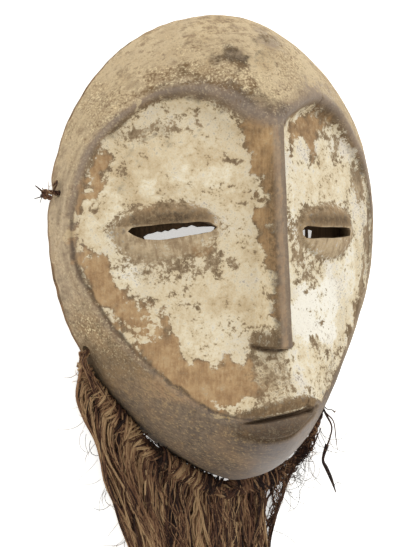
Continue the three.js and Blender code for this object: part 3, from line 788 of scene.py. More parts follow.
def wear_rim(mesh):
    """Rounds and chips the outer edge, most where the two cords on the viewer's left rub it."""
    place = plan_arrays(mesh)
    x, y, z = place.T
    rise = np.where(y > WIDEST_Y, RISE_TO_CROWN, DROP_TO_CHIN)
    outer = smoothstep(0.9, 1, np.hypot(x / RIM_HALF_WIDTH, (y - WIDEST_Y) / rise))
    low = 1 - smoothstep(4, 14, z)
    inward = 0.12 * (1 + wander(x, y, 26, 3)) + 0.12 * (1 + wander(x, y, 6, 4))
    inward += 1.5 * bell(y, TEMPLE_BORE_Y + 0.5, 4.5) * (x < 0)
    inward += 0.9 * bell(y, LEFT_JAW_BORE_Y + 1, 4) * (x < 0)
    inward *= outer * low
    reach = np.hypot(x, y - WIDEST_Y) + 1e-9
    place[:, 0] -= inward * x / reach
    place[:, 1] -= inward * (y - WIDEST_Y) / reach
    set_plan(mesh, place)


# Worn, soiled and polished places, in the mask's plan, the polished ones with a painted sheen

BARE_CHEEK = Outline([
    (-70, 38), (-66, 33), (-67, 27), (-68, 22), (-71, 18), (-74, 13), (-77, 8), (-78, 2), (-75, -6),
    (-71, -9), (-68, -13), (-64, -23), (-61, -26), (-54, -28), (-52, -34), (-51, -41), (-48, -44),
    (-46, -35), (-44, -33), (-43, -43), (-41, -50), (-37, -57), (-31, -58), (-25, -60), (-22, -57),
    (-15, -56), (-11, -61), (-11, -69), (-15, -74), (-21, -78), (-28, -79), (-38, -73), (-47, -64),
    (-55, -51), (-63, -39), (-74, -22), (-80, -3), (-80, 12), (-75, 25),
], steps=4)
BARE_BROW_FOOT = Outline([
    (15, 52), (24, 57), (40, 59), (41, 53), (33, 46), (31, 35), (26, 33), (26, 41), (19, 44), (12, 36),
])
WHITE_CHEEK = Outline([
    (14, -28), (23, -27), (32, -26), (38, -18), (43, -24), (46, -33), (45, -44), (39, -53), (30, -47),
    (17, -48), (11, -40),
])
FOREHEAD_CREAM = Outline([(-12, 80), (1, 84), (10, 76), (12, 66), (4, 57), (-8, 59), (-14, 69)])
PALE_FOREHEAD = Outline([(24, 93), (34, 86), (42, 74), (37, 69), (20, 72), (17, 81)])

# Spots listed as x, y, reach along x, reach along y and strength
CHALK_SPOTS = [
    (-77, 2, 3.5, 5, 1), (-57, -42, 3.2, 4, 0.8), (-52, -47, 4, 2.5, 0.9), (-60, -30, 2, 2, 0.6),
    (-64, 57, 2.2, 2.2, 1), (-42, 62, 1.2, 1.0, 1), (-51, 57, 1.2, 1.2, 1), (-24, -80, 7, 1.5, 0.8),
    (-17, -76, 4, 2.5, 0.7), (20, 82, 5, 7, 0.5),
]
BARE_SPOTS = [
    (48, 43, 6, 8, 0.4), (40, 50, 8, 5, 0.4), (-53, 46, 7, 4, 0.45), (-40, 50, 7, 5, 0.35),
    (-30, 51, 5, 4, 0.36), (-60, 31, 3, 4, 0.3), (-17, 33, 1.6, 1.2, 0.5), (-12, 13, 1.6, 2.5, 0.45),
    (67, 25, 6, 9, 0.7), (47, 12, 9, 4, 0.3), (16, 1, 7, 9, 0.42), (76, 0, 3, 16, 0.6),
    (-31, -6, 5.5, 3.6, 0.4), (-23, -12, 6, 4, 0.4), (-56, -12, 7, 5, 0.36), (-43, -16, 18, 5, 0.34),
    (17, -10, 4, 5, 0.5), (24, -20, 9, 7, 0.36), (71, -24, 3, 12, 0.75), (66, -38, 3, 6, 0.65),
    (-34, -33, 3, 3, 0.3), (-18, -39, 4, 4, 0.2), (-13, -42, 3, 4, 0.15), (-7, -48, 4, 3, 0.4),
    (28, -51, 4, 9, 0.36), (58, -54, 3, 6, 0.75), (50, -56, 5, 8, 0.2), (40, -59, 4, 4, 0.45),
    (-6, -62, 10, 7, 0.35), (36, -68, 9, 5, 0.3), (6, -73, 18, 4, 0.35),
]
SOOT_SPOTS = [
    (9, 91, 8, 4, 0.5), (-20, 84, 7, 3, 0.3), (0, 80, 9, 4, 0.3), (-13, 79, 7, 6, 0.9),
    (-36, 72, 9, 4.5, 0.5), (-26, 69, 9, 4, 0.45), (-46, 66, 9, 5, 0.5), (-14, 64, 13, 6, 0.7),
    (-8, 62, 7, 4, 0.65), (44, 60, 9, 4, 0.45), (-3, 57, 8, 5, 0.6), (1, 55, 8, 4, 0.6),
    (-62, 46, 4, 3, 0.3), (-45, 46, 6, 3, 0.3), (-30, 46, 3, 2, 0.25), (66, 34, 7, 9, 0.4),
    (-57, 33, 3, 3, 0.25), (-60, 24, 3, 6, 0.25), (79, 4, 6, 26, 0.5), (-66, 1, 5, 4, 0.3),
    (42, -76, 8, 4, 0.5), (17.6, -79.6, 2.4, 2.2, 0.9), (34, -82, 11, 9, 0.5),
]
PALE_SPOTS = [
    (-21, 25, 6, 6, 0.2), (-36, 25, 3, 3, 0.2), (-50, 21, 4, 3, 0.2), (-66, 18, 5, 5, 0.15),
    (-66, 8, 6, 12, 0.15), (10, 5, 4, 30, 0.15), (-60, -18, 4, 7, 0.2), (55, -20, 8, 14, 0.15),
    (-28, -46, 10, 9, 0.12), (10, -57, 8, 8, 0.12),
]
# Polished spots, which also take the painted sheen
POLISH_SPOTS = [
    (9, 91, 9, 5, 0.5), (-12, 80, 7, 6, 0.2), (32, 68, 14, 7, 0.6), (-30, 66, 16, 4, 0.4),
    (-84, -6, 8, 40, 0.3),
]
TAN_SPOTS = [(16, 48, 9, 9, 0.5), (-31, -6, 5.5, 3.6, 1.0), (-52, -42, 8, 12, 0.6), (-30, -68, 22, 9, 0.9)]
GRIME_SPOTS = [
    (-20, 86, 14, 5, 0.5), (14, 80, 14, 12, 0.6), (44, 74, 12, 10, 0.6), (-22, 72, 26, 7, 0.7),
    (-4, 68, 10, 8, 0.5), (-66, 60, 9, 14, 0.5), (-50, 44, 12, 8, 0.35), (-14, 44, 8, 10, 0.25),
    (30, 40, 10, 6, 0.3), (-60, 34, 6, 10, 0.4), (60, 20, 9, 14, 0.3), (72, -5, 9, 24, 0.6),
    (-20, -10, 8, 5, 0.15), (24, -16, 9, 6, 0.25), (-56, -16, 9, 6, 0.3), (50, -36, 10, 20, 0.4),
    (34, -54, 10, 10, 0.4), (-4, -64, 10, 7, 0.5), (40, -66, 10, 8, 0.6),
]


def spots(places, x, y):
    total = np.zeros(len(x))
    for px, py, rx, ry, strength in places:
        far = ((x - px) / rx) ** 2 + ((y - py) / ry) ** 2
        total = np.maximum(total, strength * np.exp(-0.7 * far ** 1.5))
    return total


def inside_wall(x, y, z):
    """1 on the hollow back, the rim's flat and the cuts' walls, and then on the cuts' walls alone."""
    # The cuts' walls, which are also painted dark as shade
    cut_wall = smoothstep(1.2, 2.4, carved_height(x, y) - z) * (z > 0.2)
    hidden = (z < 0.3) | (z < hollow_height(x, y) + 1.6)
    return np.maximum(cut_wall, hidden), cut_wall


def crest_places(p):
    """The face, the crest round it, and the chin and forehead outside it."""
    x, y, depth = p.x, p.y, p.depth
    p.face = smoothstep(0.5, 3.4, depth + 0.9 * wander(x, y, 6, 15))
    p.high = smoothstep(-10, 40, y)
    p.chin = (1 - p.face) * smoothstep(-45, -80, y)
    # The chin's right flank, painted darker as shade and given less of the painted sheen
    p.turned_away = (1 - p.face) * smoothstep(10, 36, x) * smoothstep(-45, -75, y)
    outward = along([-90, -40, -24, 0, 24, 50, 90], [1.5, 2, 4.6, 5.5, 4, 3, 2], x)
    p.band = bell(depth, 0.2, np.where(depth < 0.2, outward, 2.0)) * mix(0.6, 1, p.high)
    p.wall = bell(depth, 2.6, 1.9)
    broken = 0.65 + 0.35 * wander(x, y, 9, 16)
    p.lines = (bell(depth, -3.2, 0.8) + bell(depth, 3.4, 0.9)) * broken
    p.lines *= smoothstep(-22, -40, x) * smoothstep(-20, 10, y)
    ragged = depth - 0.4 * wander(x, y, 7, 17)
    p.ledge = bell(ragged, 1.7, 1.2) * (1 - p.high) * smoothstep(14, 2, x)
    p.fray = bell(depth, -7, 8) * smoothstep(30, 55, y) * smoothstep(40, 10, x)
    p.fringe = bell(depth, 4.5, 2.4) * np.exp(-(((x + 18) / 11) ** 4)) * (y < -40)


def eye_places(p):
    """The lids, the dirt round them, their outer edge, and the shade along each slit."""
    tilted = p.y - 0.08 * (p.x - EYES[0]["x"]) * (p.x < 0)
    p.lids, p.haze, p.lid_edge, p.upper_lid, p.slit = (np.zeros(len(p.x)) for _ in range(5))
    for eye in EYES:
        reach = eye_radius(eye, p.x, p.y)
        aside = p.x - eye["x"]
        p.lids = np.maximum(p.lids, 1 - smoothstep(0.78, 1.2, eye_radius(eye, p.x + 1, tilted)))
        p.haze = np.maximum(p.haze, 1 - smoothstep(0.95, 1.4, reach))
        p.lid_edge = np.maximum(p.lid_edge, bell(reach, 1, 0.07))
        p.upper_lid = np.maximum(p.upper_lid, (p.y > eye["y"] + 1) * (np.abs(aside) < 26))
        # Painted shade above the slit, under the upper lid's edge
        p.slit += np.exp(-((aside / 20) ** 4)) * bell(tilted, eye["y"] + 4.2, 3.2)
    p.upper_lid *= p.lids


def nose_places(p):
    """The nose's bare flank, its bridge, tip and the shade beside and under it."""
    x, y = p.x, p.y
    aside = np.abs(x)
    half = nose_half_width(y)
    on_nose = smoothstep(NOSE_FOOT_Y - 2, NOSE_FOOT_Y + 1, y) * (1 - smoothstep(52, 60, y))
    flank_edge = along([-60, -38, -30, -8, 0, 15, 30, 60], [-1.5, -2, -2.6, -4, -4.8, -6, -7.6, -12.5], y)
    p.flank = on_nose * smoothstep(flank_edge - 2.6, flank_edge + 1.4, p.wx) * (x < 0)
    p.bridge = on_nose * (1 - smoothstep(BRIDGE_HALF_WIDTH, BRIDGE_HALF_WIDTH + 1.2, aside))
    # Painted shade down the nose's left side, beside the bridge
    p.beside_bridge = on_nose * bell(x, -3.2, 1.9) * smoothstep(50, 20, y)
    p.tip = on_nose * (1 - smoothstep(-47, -38, y)) * (1 - smoothstep(half - 1.5, half + 1, aside))
    # A painted shadow under the nose's foot
    p.under_nose = bell(y - nose_foot(x), -0.9, 1.3) * (1 - smoothstep(half - 1, half + 2, aside))


def mouth_places(p):
    """The lips, painted shade along the line between them and in the fold below the lower lip, and a pale
    line just above the line between them.
    """
    up = p.y - mouth_line(p.x)
    taper = np.maximum(0, 1 - ((p.x - MOUTH_X) / (MOUTH_HALF_WIDTH + 5)) ** 2)
    tall = np.sqrt(taper)
    low = -LOWER_LIP * taper * mix(1, 0.6, smoothstep(4, 18, p.x))
    below = 1 - smoothstep(4 * tall + 1, 8 * tall + 1.5, up)
    p.upper_lip = smoothstep(-1, 0.5, up) * below * smoothstep(0, 0.35, taper)
    p.lower_lip = (up < 0.5) * smoothstep(low - 1.5, low + 1, up) * smoothstep(0, 0.1, taper)
    # Painted shade along the line between the lips
    p.seam = bell(up, 0, 1.1) * smoothstep(0, 0.2, taper)
    # Painted shadow in the fold below the lower lip
    p.crease = bell(up - low, -1.2, 2) * smoothstep(0.1, 0.4, taper)
    p.lip_line = bell(up, 1.6, 0.9) * smoothstep(MOUTH_HALF_WIDTH, 13, np.abs(p.x - MOUTH_X))
    p.lip = np.maximum(p.lower_lip, p.crease)


def patch_places(p):
    """Where the whitening is worn off, creamy or at its whitest."""
    bare = smoothstep(-3, 3, BARE_CHEEK.depth(p.wx, p.wy))
    p.bare = np.maximum(bare, 0.8 * smoothstep(-4, 4, BARE_BROW_FOOT.depth(p.wx, p.wy)))
    cream = smoothstep(-4, 4, FOREHEAD_CREAM.depth(p.wx, p.wy))
    p.cream = np.maximum(cream, smoothstep(-4, 4, PALE_FOREHEAD.depth(p.wx, p.wy)))
    p.white = smoothstep(-5, 5, WHITE_CHEEK.depth(p.wx, p.wy))
    p.philtrum = np.exp(-(((p.wx + 5) / 15) ** 4) - ((p.wy + 65) / 10) ** 4)


def chalk_layer(p):
    """How well the whitening holds."""
    outside = along([-110, -60, -20, 20, 60, 100], [0.03, 0.1, 0.24, 0.34, 0.5, 0.5], p.y)
    chalk = mix(np.maximum(outside, 0.72 * p.cream), 0.8, p.face)
    chalk -= spots(BARE_SPOTS, p.wx, p.wy) * p.face + 0.14 * p.haze
    chalk -= (0.3 * p.band + 0.2 * p.wall) * p.high
    chalk = mix(chalk, 0.5, p.philtrum) * (1 - p.bare)
    chalk = np.maximum(chalk, spots(CHALK_SPOTS, p.wx, p.wy))
    chalk = np.maximum(chalk, 0.62 * p.fringe)
    for cover, left in (
        (p.lids, 0.2), (p.flank, 0.08), (p.bridge, 0.0), (p.tip, 0.3),
        (p.lower_lip, 0.03), (p.upper_lip, 0.25), (p.under_nose, 0.1),
    ):
        chalk = mix(chalk, np.minimum(chalk, left), cover)
    return np.maximum(chalk, 0.62 * p.lip_line)


def film_layer(p):
    """How much of the thin grey cream film is left."""
    film = along([-110, -80, -60, -40, -20, 0, 60], [0.04, 0.08, 0.2, 0.42, 0.62, 0.74, 0.8], p.y)
    film = mix(film, 0.5, p.face)
    film = film * (1 - 0.75 * p.band * p.high) * (1 - 0.7 * p.wall) * (1 - 0.7 * p.bare)
    for cover, left in (
        (p.lids, mix(0.72, 0.36, p.upper_lid)), (p.flank, 0.1), (p.bridge, 0.3), (p.tip, 0.2),
        (p.lower_lip, 0.05), (p.upper_lip, 0.2), (p.chin, 0.12),
    ):
        film = mix(film, left, cover)
    return film


def soot_layer(p):
    """Dark polish on the lips and along the crest, and painted shade in the hollows, on the cuts' walls and
    on the chin's right flank.
    """
    deep = along([-90, -45, -22, 10, 40, 70], [0.03, 0.04, 0.3, 0.34, 0.16, 0.1], p.x)
    crest = (deep * p.band + 0.12 * p.wall) * p.high + 0.4 * p.lines
    below_lip = smoothstep(-80, -90, p.y) * np.exp(-(((p.x + 10) / 19) ** 4))
    low_sides = mix(0.26, 0.6, below_lip) * p.chin + 0.14 * (1 - p.face) * smoothstep(-10, -60, p.y)
    lips = np.maximum(0.92 * p.lower_lip, 0.5 * p.upper_lip) * (1 - 0.8 * p.lip_line)
    return np.maximum.reduce([
        spots(SOOT_SPOTS, p.wx, p.wy) + crest,
        0.85 * p.ledge,
        # Darker upper lids, and painted shade along each slit
        0.1 * p.upper_lid + 0.54 * p.slit * p.lids,
        (0.2 * p.lid_edge + 0.12) * p.lids,
        lips,
        # Painted shade between the lips and below the lower lip
        0.95 * p.seam,
        0.95 * p.crease,
        p.bridge * mix(0.25, 0.5, smoothstep(-0.5, 1.8, p.x)),
        # Painted shade beside the nose's bridge
        0.56 * p.beside_bridge,
        0.3 * p.tip,
        # Painted shadow under the nose
        0.95 * p.under_nose,
        low_sides,
        # Painted shade on the chin's right flank
        0.55 * p.turned_away,
        # Painted shade on the cuts' walls
        0.8 * p.cut_wall,
    ])


def paint_layers(mesh):
    """Lays the whitening, film, dirt and painted shade, warmth, and polish and painted sheen of each place
    on the mesh.
    """
    x, y, z = plan_arrays(mesh).T
    p = SimpleNamespace(x=x, y=y, depth=CREST.depth(x, y))
    # Places stirred a little, so that no worn edge is a clean curve
    p.wx = x + 2.2 * wander(x, y, 10, 11) + 0.8 * wander(x, y, 3.6, 12)
    p.wy = y + 2.2 * wander(x, y, 10, 13) + 0.8 * wander(x, y, 3.6, 14)
    crest_places(p)
    eye_places(p)
    nose_places(p)
    mouth_places(p)
    patch_places(p)
    inside, p.cut_wall = inside_wall(x, y, z)
    pale = mix(0.4, 0.62, p.face) + spots(PALE_SPOTS, p.wx, p.wy) * p.face + 0.5 * p.white
    pale += 0.14 * smoothstep(-6, 24, x) * p.face + 0.08 * p.cream
    grime = along([-100, -60, -20, 20, 60], [0.3, 0.3, 0.3, 0.3, 0.05], y) * (1 - p.face)
    grime = np.maximum(grime, spots(GRIME_SPOTS, p.wx, p.wy)) + 0.2 * p.band * p.high + 0.3 * p.fray
    grime += 0.4 * p.philtrum + 0.2 * np.maximum(p.upper_lip, p.lower_lip) - 0.2 * p.white - 0.1 * p.bare
    plain_chin = p.chin * (1 - p.lip)
    layers = {
        "chalk": chalk_layer(p),
        "film": film_layer(p),
        "soot": soot_layer(p),
        "pale": pale,
        "tan": np.maximum.reduce([
            spots(TAN_SPOTS, x, y), 0.55 * p.flank, mix(0.75, 1, p.fringe) * p.bare,
            0.35 * p.upper_lip, 0.3 * p.lids,
        ]),
        "grime": grime,
        "polish": np.maximum.reduce([
            p.band * mix(0.5, 0.75, p.high),
            # The chin's polish and painted sheen, less on the shaded right flank
            plain_chin * mix(0.2, 0.85, smoothstep(-18, 6, x)) * (1 - 0.7 * p.turned_away),
            0.5 * p.bridge, 0.12 * p.lower_lip, 0.1 * p.bare, spots(POLISH_SPOTS, p.wx, p.wy),
        ]),
        "chin": plain_chin,
        "inside": inside,
        "outside": (1 - p.face) * (1 - p.lip) * (1 - 0.6 * p.band * p.high),
    }
    for name, values in layers.items():
        set_layer(mesh, name, np.clip(values, -0.3, 1.2))
    rim = np.column_stack([90 * np.arctan2(x, -(y - WIDEST_Y)), np.hypot(x, y - WIDEST_Y), z])
    ways = mesh.attributes.new("rim_way", "FLOAT_VECTOR", "POINT")
    ways.data.foreach_set("vector", rim.astype(np.float32).ravel())


def mask_finish(colors):
    """Wood under a thin film, kaolin that holds in patches, sooty darkening that is partly painted shade,
    dirt in the pores, and polish with a painted sheen.
    """
    f = Finish("worn whitened wood")
    cloud = f.swing(24)
    mottle = f.swing(7, 5, 0.65)
    crumb = f.swing(2.4, 4, 0.7)
    fine = f.swing(1.0, 2, 0.6)
    grain = f.swing(1, 4, 0.6, vector=f.stretched(1.2, 12, 1.2))
    streak = f.swing(1, 4, 0.65, vector=f.along_way("rim_way", 5, 0.9, 2))
    band = f.swing(1, 3, 0.6, vector=f.along_way("rim_way", 22, 1.6, 9))
    chin = f.layer("chin")
    outside = f.layer("outside")
    grime = f.layer("grime")
    soot = f.layer("soot")

    # Wood, and the film on it
    brown = f.blend(grain * 0.2 + mottle * 0.1 + 0.5, colors.dark_wood, colors.grey_wood)
    warmth = grain * 0.15 + mottle * 0.3 + crumb * 0.2 + fine * 0.15 + 0.5
    warm = f.blend(warmth, colors.deep_tan, colors.tan_wood)
    wood = f.blend((f.layer("tan") + mottle * 0.12).step(0.1, 0.75), brown, warm)
    film = (f.layer("film") + mottle * 0.12 + crumb * 0.14).step(0.12, 0.85)
    aging = cloud * 0.3 + mottle * 0.25 + crumb * 0.15 + fine * 0.15 + band * 0.3 + 0.62
    skin = f.blend(film * 0.9, wood, f.blend(aging, colors.old_film, colors.film))

    # Kaolin, which flakes off where it holds badly
    holds = f.layer("chalk") + mottle * 0.13 + crumb * 0.15 + fine * 0.08
    cover = holds.step(0.38, 0.62)
    whiteness = f.layer("pale") + cloud * 0.1 + mottle * 0.1 + crumb * 0.08 + fine * 0.06
    whitening = f.ramp(
        whiteness,
        (0.0, colors.old_chalk), (0.35, colors.thin_chalk), (0.6, colors.chalk),
        (0.85, colors.pale_chalk), (1.0, colors.fresh_chalk),
    )
    skin = f.blend(cover * 0.94, skin, whitening)

    # Soot and painted shade, stains, dirt in the pores and flecks of old whitening
    dirty = (soot + (mottle * 0.2 + crumb * 0.16) * soot.step(0.0, 0.3)).step(0.08, 1.0)
    skin = f.blend(dirty * 0.9, skin, colors.soot)
    stain = (cloud * 0.7 + mottle * 0.55 + crumb * 0.25 + grime * 0.6).step(-0.1, 1.8)
    skin = f.blend(stain * (outside * 0.3 + 0.25), skin, colors.stain)
    busy = (grime + cloud * 0.18 + mottle * 0.14).step(0.0, 0.7)
    rough = fine * 0.6 + crumb * 0.4 + mottle * 0.2
    pores = (rough + grime * 0.8).step(0.3, 1.8) * (busy * 0.55 + 0.45)
    skin = f.blend(pores * 0.75, skin, colors.grit)
    flecks = (0.2 - rough).step(0.2, 1.6) * (outside * busy * 0.85 + 0.15) * (1 - chin)
    skin = f.blend(flecks * 0.85, skin, colors.fleck)

    # The chin's fibres, and the polish of handling with its painted sheen
    glints = (streak * 0.4 + fine * 0.45 + crumb * 0.3).step(0.1, 1.0) * chin
    skin = f.blend(glints * (0.65 - 0.5 * f.layer("polish")), skin, colors.glint)
    shade = (0 - streak).step(0.2, 0.9) * chin
    skin = f.blend(shade * 0.35, skin, colors.soot)
    # Polished places are mixed towards grey, and on the chin towards blue grey: partly the polished wood's
    # own grey, partly a painted reflection
    polish = f.layer("polish") * (1 - cover * 0.8)
    skin = f.blend(polish * 0.6, skin, f.blend(chin, colors.sheen, colors.cool_sheen))

    inner = f.blend(grain * 0.35 + 0.5, colors.dark_wood, colors.inner_wood)
    # The inside darkened further, and on the cuts' walls with painted shade
    inner = f.blend(soot * 0.85, inner, colors.soot)
    crust = (crumb * 0.05 + fine * 0.04) * (cover * 0.8 + 0.3)
    height = cover * 0.14 + crust + grain * 0.03 * (1 - cover) - pores * 0.15
    return f.shade(
        Base_Color=f.blend(f.layer("inside"), skin, inner),
        Roughness=cover * 0.1 + 0.84 - polish * 0.4 + mottle * 0.05,
        Specular_IOR_Level=0.1,
        Coat_Weight=polish * 0.15,
        Coat_Roughness=0.3,
        Normal=f.bump(height, 0.55),
    )


# Raffia, as strands with points, radii, whether each closes on itself, and its tone

def strand_object(name, strands, sides_resolution=0):
    """Tapered tubes along given points, in one mesh that keeps each strand's tone."""
    clear_selection()
    bpy.ops.curve.primitive_nurbs_path_add()
    curve = bpy.context.object.data
    curve.splines.clear()
    curve.dimensions = "3D"
    curve.bevel_depth = MM
    curve.bevel_resolution = sides_resolution
    curve.use_fill_caps = True
    for points, radii, cyclic, _ in strands:
        spline = curve.splines.new("POLY")
        spline.points.add(len(points) - 1)
        above = np.maximum(points[:, 2], radii + 0.05)
        place = np.column_stack([points[:, :2], above]) * MM + np.array(MASK_ORIGIN)
        spline.points.foreach_set("co", np.column_stack([place, np.ones(len(points))]).ravel())
        spline.points.foreach_set("radius", np.broadcast_to(radii, len(points)).astype(np.float32))
        spline.use_cyclic_u = cyclic
    bpy.ops.object.convert(target="MESH")
    piece = bpy.context.object
    piece.name = name
    around = 4 + 2 * sides_resolution
    rings = []
    for index, (points, _, cyclic, tone) in enumerate(strands):
        tube = [(tone, share) for share in np.linspace(0, 1, len(points))]
        caps = [] if cyclic else [(tone, 0), (tone, 1)]
        # The curve's conversion puts the last strand's caps first
        if index == len(strands) - 1:
            rings = caps + rings + tube
        else:
            rings += tube + caps
    layers = np.repeat(np.array(rings), around, axis=0)
    if len(layers) != len(piece.data.vertices):
        raise RuntimeError(f"{name}: {len(piece.data.vertices)} vertices, and {len(layers)} were expected")
    set_layer(piece.data, "tone", layers[:, 0])
    set_layer(piece.data, "share", layers[:, 1])
    edit_all(bpy.ops.mesh.remove_doubles, threshold=0.000001)
    bpy.ops.object.shade_smooth()
    return piece


def taper(count, radius, tip_share, start=0.7):
    shares = np.linspace(0, 1, count)
    return radius * (1 - (1 - tip_share) * smoothstep(start, 1, shares))


def directions(line):
    """Along a line, across it in plan, and up from it, at each of its points."""
    way = np.gradient(line, axis=0)
    way /= np.linalg.norm(way, axis=1)[:, None]
    across = np.cross([0.0, 0.0, 1.0], way)
    across /= np.linalg.norm(across, axis=1)[:, None]
    return way, across, np.cross(way, across)


class Clump:
    """Strands that leave the header together and wave together."""

    def __init__(self, draws, t_head, t_tip, reach, turns, tone):
        self.t_head = t_head
        self.t_tip = t_tip
        self.reach = reach
        self.turns = turns
        self.tone = tone
        self.level = draws.uniform(0.1, 1)
        self.phases = [draws.uniform(0, 2 * math.pi) for _ in range(3)]

    def sway(self, shares):
        slow = np.sin(2 * math.pi * self.turns * shares + self.phases[0])
        quick = np.sin(5.3 * math.pi * self.turns * shares + self.phases[1])
        return self.reach * smoothstep(0, 0.3, shares) * (slow + 0.3 * quick)

    def strand(self, draws, shares, spread, radius, crimp, over=False, dense=True):
        """One strand, beside the clump's own line, looping over the header first if it is to."""
        t_head = min(0.87, max(DENSE_START, self.t_head + draws.gauss(0, spread)))
        t_tip = min(0.87, max(DENSE_START, self.t_tip + draws.gauss(0, spread)))
        line = course_line(t_head, t_tip, shares)
        waves = np.zeros(len(shares))
        for turns, size in ((2.2, 1), (6, 0.55), (13, 0.35)):
            turn = 2 * math.pi * turns * draws.uniform(0.7, 1.3) * shares
            waves += size * np.sin(turn + draws.uniform(0, 2 * math.pi))
        sway = self.sway(shares) + crimp * waves * smoothstep(0, 0.12, shares)
        line += directions(line)[1] * sway[:, None]
        thick = mix(HANK_HEAD_THICKNESS, HANK_TIP_THICKNESS, np.clip(shares, 0, 1) ** 0.8)
        level = self.level + draws.gauss(0, 0.16) + 0.14 * np.sin(9 * shares + self.phases[2])
        line[:, 2] = TOUCH_GAP + radius + (thick - 2 * radius) * np.clip(level, 0, 1)
        line = within_beard(line, 0 if dense else LOCKS_REACH)
        at, _, out = header_place(t_head)
        root = at + out * header_radius(t_head) * 0.4
        root[2] = line[0, 2]
        start = header_arc(draws, t_head, radius) if over else root[None, :]
        line = np.vstack([start, line])
        # Strands low in the pile are painted darker and those on top lighter, as painted shade and light
        tone = self.tone + draws.gauss(0, 0.11) + (0.2 * (self.level - 0.5) if dense else 0)
        return line, taper(len(line), radius, 0.35), False, min(1, max(0, tone))


def header_arc(draws, t, radius):
    """Where a strand passes over the header before it hangs."""
    at, way, out = header_place(t)
    reach = header_radius(t) + radius + draws.uniform(-0.2, 0.9)
    lean = draws.gauss(0, 4)
    turns = np.radians(np.linspace(100 if gap_beside(t) else 165, 35, 5))
    rise = np.outer(np.sin(turns), [0, 0, reach])
    return at + np.outer(np.cos(turns), out * reach) + rise + np.outer(np.linspace(-1, 0, 5), way * lean)


def make_hank(index, beard):
    draws = random.Random(100 + index)
    width = (DENSE_END - DENSE_START) / DENSE_HANKS
    start = DENSE_START + index * width
    shares = np.linspace(0, 1, 36) ** 1.12
    strands = []
    clumps = []
    for part in range(HANK_CLUMPS):
        t_head = start + width * (part + draws.uniform(0.1, 0.9)) / HANK_CLUMPS
        t_tip = t_head + draws.gauss(0, 0.8) * width
        tone = draws.gauss(0.6 - 0.026 * index + 0.05 * math.cos(1.7 * index), 0.32)
        clumps.append(Clump(draws, t_head, t_tip, draws.uniform(1.2, 4.8), draws.uniform(0.7, 1.9), tone))
    sweeping = []
    for lean in (draws.uniform(1.5, 3), draws.uniform(-1.2, 1.2)):
        t_head = start + width * draws.random()
        top = Clump(draws, t_head, start + width * lean, draws.uniform(2, 4), 1.1, 0.8)
        top.level = 1
        sweeping.append(top)
    for k in range(beard.strands):
        stray = draws.random() < 0.12
        clump = sweeping[k // 12 % 2] if k % 12 == 0 and 0 < index < 10 else draws.choice(clumps)
        spread = 0.025 if stray else 0.0042
        radius = beard.strand_width * 500 * draws.choice([0.5, 0.8, 1.2, 1.8])
        cut_short = draws.uniform(0.6, 0.95) if draws.random() < 0.2 else draws.uniform(0.93, 1)
        over = clump.level > 0.4 and draws.random() < (0.25 if index < 5 else 0.6)
        crimp = beard.waviness * (1.8 if stray else 0.6)
        loose = index > 9 and k % 9 == 0
        strands.append(clump.strand(draws, shares * cut_short, spread, radius, crimp, over, not loose))
    for k in range(HANK_UNDERLAYER):
        # Broad strands below the others, so that no ground shows through; their dark tone is painted shade
        t = start + width * (k + 0.5) / HANK_UNDERLAYER
        under = Clump(draws, t, t, 0.8, 1, -0.4)
        under.level = 0
        strands.append(under.strand(draws, shares, 0.001, 0.9, 0.3))
    return strand_object(f"raffia_hank_{index + 1:02d}", strands)


def make_lock(index, beard):
    """A loose lock of thin dark hair off the bare cord."""
    draws = random.Random(300 + index)
    shares = np.linspace(0, 1.05, 44)
    strands = []
    for _ in range(LOCK_CLUMPS):
        t_head = LOCKS[index] + draws.uniform(-0.034, 0.008)
        t_tip = draws.uniform(0.6, 0.65)
        clump = Clump(draws, t_head, t_tip, draws.uniform(1, 2.4), draws.uniform(1.2, 2.6), 0.26)
        for _ in range(beard.lock_strands // LOCK_CLUMPS):
            cut_short = draws.uniform(0.5, 0.9) if draws.random() < 0.25 else 1
            radius = draws.uniform(0.1, 0.25)
            strands.append(clump.strand(draws, shares * cut_short, 0.011, radius, 1.5, dense=False))
    return strand_object(f"raffia_lock_{index + 1}", strands)


def smooth_path(points, count):
    """Evenly counted points on a smooth open line through a few points."""
    points = np.array(points, float)
    knots = np.vstack([points[0] * 2 - points[1], points, points[-1] * 2 - points[-2]])
    place = np.linspace(0, len(points) - 1 - 1e-6, count)
    i = place.astype(int)
    return passing(*(knots[i + k] for k in range(4)), (place - i)[:, None])


def twisted(path, radii, plies, pitch, tones):
    """Plies that turn round a path once in a pitch, and together have its radii."""
    _, across, up = directions(path)
    travel = np.concatenate([[0], np.cumsum(np.linalg.norm(np.diff(path, axis=0), axis=1))])
    share = math.sin(math.pi / plies) / (1 + math.sin(math.pi / plies))
    strands = []
    for ply in range(plies):
        turn = (2 * math.pi * (travel / pitch + ply / plies))[:, None]
        line = path + (across * np.cos(turn) + up * np.sin(turn)) * (radii * (1 - share))[:, None]
        strands.append((line, radii * share, False, tones[ply]))
    return strands


def knot(middle, size, radius, tone, way):
    """A small overhand knot, as a trefoil round the cord."""
    across = unit(np.cross([0, 0, 1], way))
    up = np.cross(way, across)
    a = np.linspace(0, 2 * math.pi, 26, endpoint=False)
    line = np.outer(np.sin(a) + 2 * np.sin(2 * a), across)
    line += np.outer(np.cos(a) - 2 * np.cos(2 * a), up)
    line += np.outer(-1.6 * np.sin(3 * a), way)
    return middle + line * (size / 3), radius, True, tone


